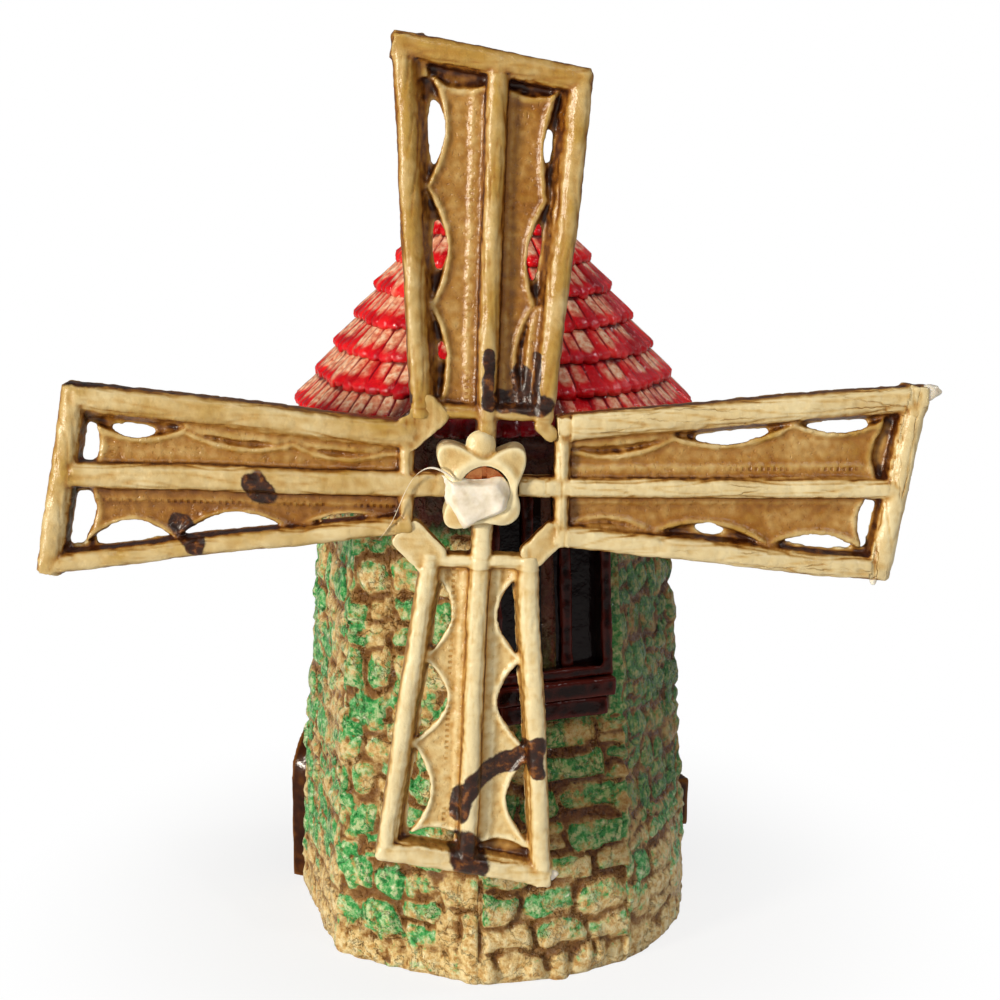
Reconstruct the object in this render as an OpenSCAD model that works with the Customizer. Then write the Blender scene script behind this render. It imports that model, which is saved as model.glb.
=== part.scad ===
// Garden windmill of glazed earthenware: an eight-sided stone tower, a shingled roof cap
// and a cross of four lattice sails that turns on a screw through the tower's front corner.
// The origin is the centre of the foot, on the ground. The sails face -Y, and +Z is up.

/* [Tower] */
// Corner radius of the tower at its foot
foot_r = 60; // [54:1:66]
// Corner radius of the tower under the roof
head_r = 48; // [44:1:51]
// Height of the tower's wall
tower_h = 155; // [145:1:170]
// How late the wall leans in: 1 is straight, more is rounder
wall_curve = 1.6; // [1:0.1:2]
// Thickness of the cast wall
wall_t = 6; // [5:0.5:7]
// Degrees by which the front corner is turned from the axle
tower_turn = 6; // [0:1:10]

/* [Stonework] */
// Height of one course of stones, with its joint
course_h = 10.5; // [9:0.5:14]
// Mean length of a stone
stone_len = 16; // [13:1:22]
// Width of the joint between two stones
joint_w = 1.5; // [1:0.1:2]
// How far the stones stand out of the wall
stone_relief = 1.3; // [0.8:0.1:1.8]
// Height of the band of small upright stones at the foot
footing_h = 12; // [9:0.5:16]

/* [Roof] */
// Radius of the lowest shingle edge
eave_r = 57; // [54:0.5:60]
// Height of the roof above the tower's wall
roof_h = 77; // [68:1:88]
// Number of shingle courses
roof_courses = 9; // [7:1:11]
// Mean width of a shingle
shingle_w = 4.6; // [4:0.2:8]
// How far each course stands out over the one below
shingle_lap = 1.8; // [1.2:0.1:2.4]
// Depth of the groove between two shingles
groove = 0.8; // [0.4:0.1:1.2]
// Depth of the ring under the roof that drops into the tower
spigot_h = 5; // [3:0.5:8]

/* [Window] */
// Clear width of the window
window_w = 29; // [24:1:31]
// Clear height of the window
window_h = 49; // [40:1:52]
// Depth of the window's foot below the axle
window_drop = 56; // [53:1:60]
// Width of the window frame's timbers
frame_w = 3; // [2:0.5:3.5]
// Depth of the window recess
recess = 4.5; // [3:0.5:4.5]
// Width of an upright bar
bar_w = 3.2; // [2:0.2:4]
// Height of each of the two sill blocks
sill_h = 5.4; // [4:0.2:6]
// How far the upper sill stands out of the wall
sill_out = 4; // [2.5:0.5:5]

/* [Doors] */
// Width over the door's surround
door_w = 36; // [30:1:38]
// Height over the door's surround
door_h = 50; // [44:1:58]
// Width of the door surround's timbers
door_frame_w = 5; // [4:0.5:7]
// How far the door's surround stands out at the foot
door_out = 6; // [4:0.5:7]
// Width of the cellar window
cellar_w = 34; // [26:1:36]
// Height of the cellar window
cellar_h = 15; // [12:1:18]

/* [Sails] */
// Length from the axle to the middle of a sail's end
sail_len = 107; // [98:1:114]
// Width over a sail's poles at its outer end
sail_tip_w = 49; // [44:1:54]
// Width over a sail's poles at its inner end
sail_root_w = 33; // [30:1:35]
// Distance from the axle to the inner cross pole
sail_root = 19.5; // [18.5:0.5:21]
// Degrees by which the end pole leans
end_skew = 9; // [0:1:12]
// Radius of the outer poles
pole_r = 2.4; // [2:0.1:2.8]
// Radius of the spar
spar_r = 3.2; // [2.8:0.1:3.6]
// Thickness of the cloth
cloth_t = 2; // [1.5:0.1:2.4]
// Depth of a scallop in the cloth
scallop = 4.5; // [3:0.5:5]
// Gap between the eave and the sails' back
sail_gap = 10.5; // [9:0.5:14]
// Width of the clay web between two sails
web_w = 8; // [6:0.5:10]

/* [Hub and axle] */
// Depth of the axle below the top of the wall
hub_drop = 10; // [10:0.5:17]
// Radius of the hub's ring
hub_r = 10; // [9:0.5:11]
// Radius from the axle to the middle of a petal's tip
petal_reach = 10; // [8.5:0.5:11]
// Thickness of the hub
hub_t = 10; // [9:0.5:12]
// Radius of the hole that holds the screw's head
head_hole_r = 6.8; // [6.4:0.1:7.4]
// Radius of the screw's shank
screw_r = 3; // [2.5:0.25:3.5]
// Radius of the screw's head
screw_head_r = 5.9; // [5.4:0.1:6.2]
// Radius of the boss on the tower's corner
boss_r = 8.5; // [7.5:0.5:9]
// Radius of the bush in boss and wall
bush_r = 4.6; // [4.2:0.1:5]
// How far the bush stands out of the wall's inner corner
bush_inset = 5; // [4:0.5:8]

/* [Hidden] */

// Fineness of round pieces, and of round pieces inside a hull
$fn = 48;
HULL_FN = 24;
// Cut tools reach this far past the faces they cut
OVER = 1;
// Clearance of a piece seated in its pocket, and radial clearance of a running fit
SEAT = 0.1;
RUN = 0.05;
// Gap left between pieces that turn past each other
SLIP = 0.3;

// The tower's plan
SIDES = 8;
HALF_SIDE = 180 / SIDES;
// Straight bands that make up the curved wall
BANDS = 3;

// Faces counted from the front corner, anticlockwise seen from above
WINDOW_FACE = 0;
DOOR_FACE = -3;
CELLAR_FACE = 2;

// Colours
STONE = [0.55, 0.63, 0.42];
RED = [0.75, 0.08, 0.15];
BROWN = [0.25, 0.09, 0.06];
BLACK = [0.08, 0.03, 0.04];
CREAM = [0.84, 0.73, 0.52];
COPPER = [0.78, 0.46, 0.30];
STEEL = [0.66, 0.67, 0.69];
GLUE = [0.91, 0.88, 0.81];

// ---- The tower's wall ----

// Height of a band's edge, and the wall's corner radius there
function band_z(i) = tower_h * i / BANDS;
function curved_r(z) = foot_r - (foot_r - head_r) * pow(z / tower_h, wall_curve);
WALL = [for (i = [0:BANDS]) [band_z(i), curved_r(band_z(i))]];
// Corner radius, distance to the middle of a face, and width of a face at height z
function corner_r(z) = lookup(z, WALL);
function face_r(z) = corner_r(z) * cos(HALF_SIDE);
function face_w(z) = 2 * corner_r(z) * sin(HALF_SIDE);
// Lean of a face between two heights
function lean(z0, z1) = atan((face_r(z0) - face_r(z1)) / (z1 - z0));
// Corner radius of the hollow
function hollow_r(z) = corner_r(z) - wall_t / cos(HALF_SIDE);

// Carries its children on the turned tower
module on_tower() {
    rotate([0, 0, -tower_turn]) children();
}

// Carries its children on the middle of a face at height z: x along the face, y into the wall
module on_face(face, z, tilt = 0) {
    on_tower()
        rotate([0, 0, HALF_SIDE * (2 * face + 1)])
            translate([0, -face_r(z), z])
                rotate([-tilt, 0, 0])
                    children();
}

// A block standing at x = 0 from z = 0 up, from depth y = sink out to y = -out
module block(w, h, sink, out) {
    translate([-w / 2, -out, 0]) cube([w, sink + out, h]);
}

// ---- Stonework ----

// Share of a stone's height that is cut off at each of its corners
STONE_CUT = 0.22;
// Small stones in one face of the footing
FOOTING_STONES = 5;
// Bare strip left along the tower's corners and round windows, doors and the boss
BARE = 0.8;
WALL_COURSES = floor((tower_h - footing_h - BARE) / course_h);

// The outline of a stone: a block with cut corners, its middle at x, z
function stone(x, z, w, h, cut) = [
    for (p = [[-w / 2 + cut, -h / 2], [w / 2 - cut, -h / 2], [w / 2, -h / 2 + cut], [w / 2, h / 2 - cut],
              [w / 2 - cut, h / 2], [-w / 2 + cut, h / 2], [-w / 2, h / 2 - cut], [-w / 2, -h / 2 + cut]])
        p + [x, z]];

// Places where a row of n stones is parted: even parts, moved by up to a quarter part
function row_cuts(w, n, seed) =
    let (shift = rands(-0.25, 0.25, n + 1, seed))
    [for (i = [0:n]) w * ((i + (i == 0 || i == n ? 0 : shift[i])) / n - 0.5)];

// Rows whose stones a window or a door takes the place of
function taken(face, z0, z1) =
    (face == WINDOW_FACE && z1 > window_foot - 2 * sill_h - BARE && z0 < window_top + BARE)
    || (face == DOOR_FACE && z0 < door_h + BARE)
    || (face == CELLAR_FACE && z1 > cellar_z - BARE && z0 < cellar_z + cellar_h + BARE);

// Strip without stones beside the front corner, wider where the boss stands
function corner_bare(z0, z1) = (z1 > hub_h - boss_r && z0 < hub_h + boss_r) ? boss_r + BARE : BARE;

// The outlines of one row of stones
function stone_row(face, z0, height, count, seed) =
    let (z1 = z0 + height,
         left = face == 0 ? corner_bare(z0, z1) : BARE,
         right = face == -1 ? corner_bare(z0, z1) : BARE,
         cuts = row_cuts(face_w(z1) - left - right, count, seed))
    taken(face, z0, z1) ? [] : [
        for (i = [0:count - 1])
            stone((left - right) / 2 + (cuts[i] + cuts[i + 1]) / 2, z0 + height / 2,
                  cuts[i + 1] - cuts[i] - joint_w, height - joint_w, STONE_CUT * height)];

// Stones in a row: as many as fit, one fewer in every other row
function row_count(face, z) = max(1, round(face_w(z) / stone_len) - (round(z / course_h) + face + SIDES) % 2);

// All the outlines of one face
function face_stones(face) = concat(
    stone_row(face, 0, footing_h, FOOTING_STONES, 10 + face),
    [for (course = [0:WALL_COURSES - 1])
        let (z = footing_h + course * course_h)
        each stone_row(face, z, course_h, row_count(face, z), 100 + 20 * course + face)]);

// The stones of one face, standing out to the face of the relief
module stones(face) {
    outlines = face_stones(face);
    points = [for (outline = outlines, p = outline) p];
    corners = len(outlines[0]);
    intersection() {
        wall_solid(stone_relief);
        on_tower()
            rotate([0, 0, HALF_SIDE * (2 * face + 1)])
                rotate([90, 0, 0])
                    translate([0, 0, hollow_r(tower_h)])
                        linear_extrude(foot_r)
                            polygon(points, [for (k = [0:len(outlines) - 1])
                                [for (i = [0:corners - 1]) k * corners + i]]);
    }
}

// ---- Tower ----

// The tower without its hollow, grown by a skin
module wall_solid(skin = 0) {
    on_tower()
        rotate_extrude($fn = SIDES)
            polygon(concat([[0, 0]], [for (p = WALL) [p[1] + skin / cos(HALF_SIDE), p[0]]], [[0, tower_h]]));
}

module tower_hollow() {
    on_tower()
        rotate_extrude($fn = SIDES)
            polygon(concat([[0, -OVER], [hollow_r(0), -OVER]],
                           [for (p = WALL) [hollow_r(p[0]), p[0]]],
                           [[hollow_r(tower_h), tower_h + OVER], [0, tower_h + OVER]]));
}

// Cylinder along the axle from depth y0 to y1, both measured from the axis of the tower
module on_axle(y0, y1, r) {
    translate([hub_x, y0, hub_h]) rotate([-90, 0, 0]) cylinder(h = y1 - y0, r = r);
}

// The axle leaves the tower through its front corner
hub_h = tower_h - hub_drop;
hub_x = -corner_r(hub_h) * sin(tower_turn);
corner_y = -corner_r(hub_h) * cos(tower_turn);
// Sails, hub and stack along the axle, front to back
sail_y = -(eave_r + sail_gap + pole_r);
hub_front = sail_y - hub_t / 2;
hub_back = sail_y + hub_t / 2;
washer_t = 1.2;
flange_t = 1;
FLANGE_OUT = 2;
washer_front = hub_back + SLIP;
flange_front = washer_front + washer_t;
boss_front = flange_front + flange_t;
// The wall's inner corner, and the stack inside the tower
inner_corner = -hollow_r(hub_h) * cos(tower_turn);
bush_end = inner_corner + bush_inset;
back_washer_front = bush_end + SLIP;
nut_front = back_washer_front + washer_t;
nut_t = 5;
// Corner radius of the nut and radius of the washers that go with the screw
nut_r = screw_r * 1.9;
washer_r = screw_r * 2;
// How far the screw's end stands out of the nut
SCREW_PAST = 1.5;
screw_end = nut_front + nut_t + SCREW_PAST;

// The door and the cellar window stand upright and reach this far into the wall
DOOR_SINK = 2.6;
CELLAR_OUT = 3.5;
// Height of the cellar window's foot
cellar_z = 21;

module door_outline(w, h, sink, out) {
    block(w, h - w / 2, sink, out);
    translate([0, sink, h - w / 2]) rotate([90, 0, 0]) cylinder(h = sink + out, d = w);
}

module tower_shell() {
    color(STONE)
        difference() {
            union() {
                wall_solid();
                for (face = [-4:3])
                    stones(face);
            }
            tower_hollow();
            window_pocket();
            on_face(DOOR_FACE, 0)
                translate([0, 0, -OVER])
                    door_outline(door_w + 2 * SEAT, door_h + OVER + SEAT, DOOR_SINK, door_out);
            on_face(CELLAR_FACE, 0)
                translate([0, 0, cellar_z - SEAT])
                    block(cellar_w + 2 * SEAT, cellar_h + 2 * SEAT, DOOR_SINK, door_out);
            on_axle(corner_y - OVER, bush_end, bush_r + RUN);
        }
}

// ---- Window ----

window_foot = hub_h - window_drop - frame_w;
window_top = window_foot + window_h + 2 * frame_w;
window_lean = lean(window_foot, window_top);
pane_t = 1.2;
FRAME_OUT = 1.6;
// The second sill block is narrower and stands out less
STEP_INSET = 2;
STEP_SHARE = 0.65;
SILL_SINK = 2;
BAR_T = 1.6;

// Carries its children on the window face, z = 0 at the foot of the window frame
module on_window() {
    zm = (window_foot + window_top) / 2;
    on_face(WINDOW_FACE, zm, window_lean)
        translate([0, 0, window_foot - zm]) children();
}

frame_outer_w = window_w + 2 * frame_w;
frame_outer_h = window_h + 2 * frame_w;

module window_pocket() {
    on_window() {
        translate([0, 0, -SEAT])
            block(frame_outer_w + 2 * SEAT, frame_outer_h + 2 * SEAT, recess, sill_out);
        translate([0, 0, -2 * sill_h - SEAT])
            block(frame_outer_w + 2 * SEAT, 2 * sill_h + SEAT, SILL_SINK, sill_out);
    }
}

module window_frame() {
    color(BROWN)
        difference() {
            on_window()
                difference() {
                    block(frame_outer_w, frame_outer_h, recess, FRAME_OUT);
                    translate([0, 0, frame_w])
                        block(window_w, window_h, recess + OVER, FRAME_OUT + OVER);
                }
            on_axle(boss_front, bush_end, bush_r + RUN);
        }
}

module window_pane() {
    color(BLACK)
        on_window()
            translate([0, recess, frame_w + SEAT])
                block(window_w - 2 * SEAT, window_h - 2 * SEAT, 0, pane_t);
}

module window_bars() {
    color(BROWN)
        on_window()
            for (side = [-1, 1])
                translate([side * (window_w + bar_w) / 6, recess - pane_t, frame_w])
                    block(bar_w, window_h, 0, BAR_T);
}

module window_sill() {
    color(BROWN)
        on_window()
            translate([0, 0, -sill_h])
                block(frame_outer_w, sill_h, SILL_SINK, sill_out);
}

module window_step() {
    color(BROWN)
        on_window()
            translate([0, 0, -2 * sill_h])
                block(frame_outer_w - 2 * STEP_INSET, sill_h, SILL_SINK, STEP_SHARE * sill_out);
}

// ---- Doors ----

// Depth of the door leaf behind the surround's face, and the grooves between its boards
LEAF_BACK = 3;
BOARDS = 4;
BOARD_GROOVE = 0.8;

module door_frame() {
    color(BROWN)
        on_face(DOOR_FACE, 0)
            difference() {
                door_outline(door_w, door_h, DOOR_SINK, door_out);
                translate([0, 0, -OVER])
                    door_outline(door_w - 2 * door_frame_w, door_h - door_frame_w + OVER,
                                 DOOR_SINK + OVER, door_out + OVER);
            }
}

module door_leaf() {
    leaf_w = door_w - 2 * door_frame_w - 2 * SEAT;
    color(BROWN)
        on_face(DOOR_FACE, 0)
            difference() {
                door_outline(leaf_w, door_h - door_frame_w - SEAT, DOOR_SINK, door_out - LEAF_BACK);
                for (i = [1:BOARDS - 1])
                    translate([leaf_w * (i / BOARDS - 0.5), BOARD_GROOVE - door_out + LEAF_BACK, -OVER])
                        block(BOARD_GROOVE, door_h + OVER, 0, BOARD_GROOVE + OVER);
            }
}

module cellar_window() {
    light_w = (cellar_w - 3 * bar_w) / 2;
    color(BROWN)
        on_face(CELLAR_FACE, 0)
            translate([0, 0, cellar_z])
                difference() {
                    block(cellar_w, cellar_h, DOOR_SINK, CELLAR_OUT);
                    for (side = [-1, 1])
                        translate([side * (light_w + bar_w) / 2, -CELLAR_OUT + frame_w, bar_w])
                            block(light_w, cellar_h - 2 * bar_w, 0, frame_w + OVER);
                }
}

// ---- Roof ----

// Share of the roof's height in the courses; the rest is the peak
COURSE_SHARE = 0.85;
// Radius of the last course's edge as a share of the eave's
PEAK_SHARE = 0.18;
// Thickness of the eave's edge under the lowest course
EAVE_T = 1.4;
// How far the soffit's rim stays behind the eave's edge
SOFFIT_BACK = 1.2;
// The last course ends at this share of its edge's radius and of the rise to the peak
PEAK_IN = 0.55;
PEAK_RISE = 0.6;
// How unevenly the shingles of a course hang
HANG = 0.4;
// How strongly the roof follows the tower's eight corners
ROOF_LOBE = 0.012;
// Points that draw one shingle: groove, and the two shoulders
SHINGLE_PTS = 3;

// Radius and height of the edge of course i, counted from the eave
function edge_r(i) = eave_r * (1 - (1 - PEAK_SHARE) * i / (roof_courses - 1));
function edge_z(i) = tower_h + EAVE_T + COURSE_SHARE * roof_h * i / (roof_courses - 1);
// Shingles in course i
function shingles(i) = round(2 * PI * edge_r(i) / shingle_w);
function lobed(r, a) = r * (1 + ROOF_LOBE * cos(SIDES * (a + 90 + tower_turn)));

// A ring of points: every third one lies in a groove, and each shingle hangs by its own amount
function shingle_ring(i, r, z, depth, drop) =
    let (n = shingles(i), hang = rands(-drop, drop, n, 40 + i))
    [for (k = [0:n * SHINGLE_PTS - 1])
        let (a = 360 * k / (n * SHINGLE_PTS),
             rk = lobed(r, a) - (k % SHINGLE_PTS == 0 ? depth : 0))
        [rk * cos(a), rk * sin(a), z + hang[floor(k / SHINGLE_PTS)]]];

// Two rings to a course: its edge, and its top under the next course's edge
function course_rings(i) = [
    shingle_ring(i, edge_r(i), edge_z(i), groove, i == 0 ? 0 : HANG),
    i < roof_courses - 1
        ? shingle_ring(i, edge_r(i + 1) - shingle_lap, edge_z(i + 1), groove / 2, 0)
        : shingle_ring(i, PEAK_IN * edge_r(i), edge_z(i) + PEAK_RISE * (tower_h + roof_h - edge_z(i)),
                       groove / 2, 0)];

ROOF_RINGS = concat([shingle_ring(0, eave_r - SOFFIT_BACK, tower_h, groove, 0)],
                    [for (i = [0:roof_courses - 1], ring = course_rings(i)) ring]);
// Number of points before ring k
function before(k) = k == 0 ? 0 : before(k - 1) + len(ROOF_RINGS[k - 1]);
RING_START = [for (k = [0:len(ROOF_RINGS)]) before(k)];

// Triangles between a lower ring of m points from index p and an upper ring of n from index q
function zip_rings(p, m, q, n) = concat(
    [for (k = [0:m - 1]) [p + k, q + floor((k + 0.5) * n / m + 0.5) % n, p + (k + 1) % m]],
    [for (j = [0:n - 1]) [q + j, q + (j + 1) % n, p + ceil((j + 0.5) * m / n - 0.5) % m]]);

module roof_skin() {
    last = len(ROOF_RINGS) - 1;
    peak = RING_START[last + 1];
    points = concat([for (ring = ROOF_RINGS, p = ring) p], [[0, 0, tower_h + roof_h]]);
    soffit = [[for (k = [0:len(ROOF_RINGS[0]) - 1]) k]];
    sides = [for (k = [0:last - 1])
        each zip_rings(RING_START[k], len(ROOF_RINGS[k]), RING_START[k + 1], len(ROOF_RINGS[k + 1]))];
    top = [for (k = [0:len(ROOF_RINGS[last]) - 1])
        [RING_START[last] + k, peak, RING_START[last] + (k + 1) % len(ROOF_RINGS[last])]];
    polyhedron(points, concat(soffit, sides, top));
}

spigot_r = hollow_r(tower_h) * cos(HALF_SIDE) - SLIP;
spigot_t = 4;
// Room left in the ring round the nut and its washer
NUT_ROOM = 0.6;

module roof_cap() {
    color(RED)
        difference() {
            union() {
                roof_skin();
                translate([0, 0, tower_h - spigot_h]) cylinder(h = spigot_h + OVER, r = spigot_r);
            }
            translate([0, 0, tower_h - spigot_h - OVER])
                cylinder(h = spigot_h + OVER + OVER, r = spigot_r - spigot_t);
            translate([0, 0, tower_h])
                cylinder(h = COURSE_SHARE * roof_h, r1 = spigot_r - spigot_t, r2 = 1);
            on_axle(back_washer_front - NUT_ROOM, screw_end + NUT_ROOM, washer_r + NUT_ROOM);
        }
}

// ---- Hub and axle ----

// How much narrower the boss is at its front
BOSS_TAPER = 1;

module axle_boss() {
    color(BROWN)
        difference() {
            translate([hub_x, boss_front, hub_h])
                rotate([-90, 0, 0])
                    cylinder(h = corner_y - boss_front + wall_t, r1 = boss_r - BOSS_TAPER, r2 = boss_r);
            wall_solid();
            window_pocket();
            on_axle(boss_front - OVER, corner_y + wall_t + OVER, bush_r + RUN);
        }
}

module axle_bush() {
    color(STEEL)
        difference() {
            union() {
                on_axle(boss_front, bush_end, bush_r);
                on_axle(flange_front, boss_front, bush_r + FLANGE_OUT);
            }
            on_axle(flange_front - OVER, bush_end + OVER, screw_r + RUN);
        }
}

module spacer_washer() {
    color(STEEL)
        difference() {
            on_axle(washer_front, flange_front, washer_r);
            on_axle(washer_front - OVER, flange_front + OVER, screw_r + SEAT);
        }
}

module back_washer() {
    color(STEEL)
        difference() {
            on_axle(back_washer_front, nut_front, washer_r);
            on_axle(back_washer_front - OVER, nut_front + OVER, screw_r + RUN);
        }
}

module axle_nut() {
    color(STEEL)
        difference() {
            translate([hub_x, nut_front, hub_h])
                rotate([-90, 0, 0]) cylinder(h = nut_t, r = nut_r, $fn = 6);
            on_axle(nut_front - OVER, nut_front + nut_t + OVER, screw_r);
        }
}

// Share of the hub's thickness that the hole of the screw's head takes
HEAD_SHARE = 0.42;
head_seat = hub_front + HEAD_SHARE * hub_t;
screw_head_t = 2.8;
SLOT_W = 1.2;

module axle_screw() {
    color(COPPER)
        difference() {
            union() {
                on_axle(head_seat - screw_head_t, head_seat, screw_head_r);
                on_axle(head_seat - OVER, screw_end, screw_r);
            }
            translate([hub_x - SLOT_W / 2, head_seat - screw_head_t - OVER, hub_h - screw_head_r - OVER])
                cube([SLOT_W, OVER + screw_head_t / 2, 2 * (screw_head_r + OVER)]);
        }
}

PETAL_R = 4.3;
PETAL_T = 8;

module hub_solid() {
    on_axle(hub_front, hub_back, hub_r);
    for (a = [45:90:315])
        translate([hub_x + petal_reach * cos(a), hub_front, hub_h + petal_reach * sin(a)])
            rotate([-90, 0, 0]) cylinder(h = PETAL_T, r = PETAL_R);
}

module hub() {
    color(CREAM)
        difference() {
            hub_solid();
            on_axle(hub_front - OVER, head_seat, head_hole_r);
            on_axle(head_seat - OVER, hub_back + OVER, screw_r + RUN);
        }
}

// Middles of the rounded corners of the glue, from the axle, and their radius
SEAL_CORNERS = [[-4.5, -1.5], [3, -1.5], [-1.5, -6], [2.5, -5]];
SEAL_R = 3.8;
// How far the glue stands out of the hub
SEAL_OUT = 2.8;

module hub_seal() {
    color(GLUE)
        difference() {
            hull()
                for (p = SEAL_CORNERS)
                    translate([hub_x + p[0], hub_front + SEAL_R - SEAL_OUT, hub_h + p[1]])
                        sphere(r = SEAL_R, $fn = HULL_FN);
            difference() {
                on_axle(hub_front, hub_back, hub_r + 2 * PETAL_R);
                on_axle(hub_front - OVER, head_seat, head_hole_r);
            }
            on_axle(head_seat - screw_head_t, head_seat, screw_head_r);
        }
}

// ---- Sails ----

// The sail that points up; x runs across it, z along its spar, the hub is at the origin
tip_half = sail_tip_w / 2 - pole_r;
root_half = sail_root_w / 2 - pole_r;
// Scallops along one edge of the cloth, and their cusps' reach into the pole
SCALLOPS = 3;
CUSP_BITE = 0.6;
// Radius of the seam beside the spar
SEAM_R = 1.1;
// Thickness of the web, and how much thinner than the poles its ridge and the cross pole are
WEB_T = 3.6;
THIN = 0.2;
// How much thicker than the poles the knots at a sail's corners are
KNOT_OUT = 0.15;
// Turn of a rod about itself, which keeps the start lines of rods that cross apart
ROD_TURN = 70;
// Small turns with which the four sails were set, clockwise, in degrees
SET_TURN = [1.5, 0.2, 2.4, 1.7];

// Height of the sail's end above x, and half the distance between pole centres at height z
function end_z(x) = sail_len - pole_r - x * tan(end_skew);
function pole_x(z) = root_half + (tip_half - root_half) * (z - sail_root) / (sail_len - sail_root);

module rod(from, to, r_from, r_to) {
    run = to - from;
    translate([from[0], 0, from[1]])
        rotate([0, atan2(run[0], run[1]), 0])
            rotate([0, 0, ROD_TURN])
                cylinder(h = norm(run), r1 = r_from, r2 = r_to);
}

module knuckle(at) {
    translate([at[0], 0, at[1]]) sphere(r = pole_r + KNOT_OUT);
}

// Cloth on one side of the spar, with round scallops cut along the pole and the end pole
module cloth(side) {
    z0 = sail_root;
    z1 = end_z(side * tip_half);
    reach = CUSP_BITE - pole_r;
    pitch = (z1 - pole_r - z0) / SCALLOPS;
    edge_bow = (pitch * pitch / 4 + scallop * scallop) / (2 * scallop);
    end_half = (pole_x(z1) + reach) / 2;
    end_bow = (end_half * end_half + scallop * scallop) / (2 * scallop);
    difference() {
        rotate([90, 0, 0])
            translate([0, 0, -cloth_t])
                linear_extrude(cloth_t)
                    polygon([[0, z0], [side * (pole_x(z0) + reach), z0],
                             [side * (pole_x(z1) + reach), z1], [0, end_z(0)]]);
        for (i = [0:SCALLOPS - 1]) {
            zm = z0 + pitch * (i + 0.5);
            translate([side * (pole_x(zm) + reach + edge_bow - scallop), -OVER, zm])
                rotate([-90, 0, 0]) cylinder(h = cloth_t + 2 * OVER, r = edge_bow);
        }
        translate([side * end_half, -OVER, (z1 + end_z(0)) / 2 - pole_r + end_bow - scallop])
            rotate([-90, 0, 0]) cylinder(h = cloth_t + 2 * OVER, r = end_bow);
    }
}

// Clay web from this sail's inner corner to that of the next sail clockwise
module web() {
    near = [root_half, sail_root];
    far = [sail_root, root_half];
    middle = (near + far) / 2;
    translate([middle[0], 0, middle[1]])
        rotate([0, 45, 0])
            translate([-norm(far - near) / 2, -WEB_T / 2, -web_w / 2])
                cube([norm(far - near), WEB_T, web_w]);
    rod(near, far, pole_r - THIN, pole_r - THIN);
}

module sail() {
    left_tip = [-tip_half, end_z(-tip_half)];
    right_tip = [tip_half, end_z(tip_half)];
    left_root = [-root_half, sail_root];
    right_root = [root_half, sail_root];
    rod(left_root, left_tip, pole_r, pole_r);
    rod(right_root, right_tip, pole_r, pole_r);
    rod(left_tip, right_tip, pole_r, pole_r);
    rod(left_root, right_root, pole_r - THIN, pole_r - THIN);
    for (corner = [left_root, right_root, left_tip, right_tip])
        knuckle(corner);
    rod([0, hub_r - OVER], [0, end_z(0)], spar_r, spar_r - THIN);
    for (side = [-1, 1]) {
        cloth(side);
        rod([side * (spar_r + SEAM_R / 2), sail_root], [side * (spar_r + SEAM_R / 2), end_z(0) - pole_r],
            SEAM_R, SEAM_R);
    }
    web();
}

module placed_sail(k) {
    color(CREAM)
        translate([hub_x, sail_y, hub_h])
            rotate([0, 90 * k + SET_TURN[k], 0])
                sail();
}

module sail_top() {
    placed_sail(0);
}

module sail_right() {
    placed_sail(1);
}

module sail_bottom() {
    placed_sail(2);
}

module sail_left() {
    placed_sail(3);
}

tower_shell();
roof_cap();
window_frame();
window_bars();
window_pane();
window_sill();
window_step();
door_frame();
door_leaf();
cellar_window();
axle_boss();
axle_bush();
spacer_washer();
axle_screw();
back_washer();
axle_nut();
hub();
sail_top();
sail_right();
sail_bottom();
sail_left();
hub_seal();
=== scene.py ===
import math
import random

import bmesh
import bpy
import numpy as np
from mathutils import Matrix, Vector, noise


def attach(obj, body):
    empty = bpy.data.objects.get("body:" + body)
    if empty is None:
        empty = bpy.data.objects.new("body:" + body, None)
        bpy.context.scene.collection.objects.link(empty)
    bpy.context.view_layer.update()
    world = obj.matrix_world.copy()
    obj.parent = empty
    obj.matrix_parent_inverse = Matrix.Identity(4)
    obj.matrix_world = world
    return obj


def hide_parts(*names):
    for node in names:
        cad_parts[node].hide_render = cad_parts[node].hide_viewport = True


# Garden windmill of glazed earthenware, hand-finished: an eight-sided tower of carved stones,
# a shingled roof cap, and a cross of four moulded lattice sails on a screw.
# Sizes are in millimetres, which MM turns into the scene's metres, and angles in degrees.

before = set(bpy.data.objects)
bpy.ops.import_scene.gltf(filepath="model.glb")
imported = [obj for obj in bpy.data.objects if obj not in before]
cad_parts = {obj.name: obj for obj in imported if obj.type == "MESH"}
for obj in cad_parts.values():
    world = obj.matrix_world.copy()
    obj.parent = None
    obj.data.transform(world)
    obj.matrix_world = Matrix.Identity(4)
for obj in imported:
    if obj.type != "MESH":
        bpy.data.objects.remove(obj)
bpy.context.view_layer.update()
MM = 0.001

# ---- Sizes of the windmill ----

# The tower stands turned a little. Its faces are counted from the front corner: 0, 1 and on to the
# right, -1, -2 and on to the left.
TOWER_H = 155.0
FOOT_R, HEAD_R, WALL_CURVE = 60.0, 48.0, 1.6
FACES, FACE, HALF_FACE, TURN = 8, 45, 22.5, 6.0
ALL_FACES = range(-FACES // 2, FACES // 2)
WINDOW_FACE, DOOR_FACE, CELLAR_FACE = 0, -3, 2
AXLE = Vector((-5.13, -69.9, 145.0))
# The roof, with the radius and height of its blunt tip
EAVE_R, ROOF_H, COURSES, TIP_R, TIP_H = 57.0, 77.0, 9, 2.5, 1.2
# The sails: from root to end of the cloth, the slanting outer edge of the end pole, and the depths of
# their fronts and backs from the axle's origin
SAIL_ROOT, SAIL_END = 20.0, 105.0
END_OUT, END_SLOPE = 107.8, -0.155
SPAR_HALF = 2.6
POLE_FRONT, CLOTH_FRONT, SAIL_BACK = -3.3, 0.2, 3.0
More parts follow.
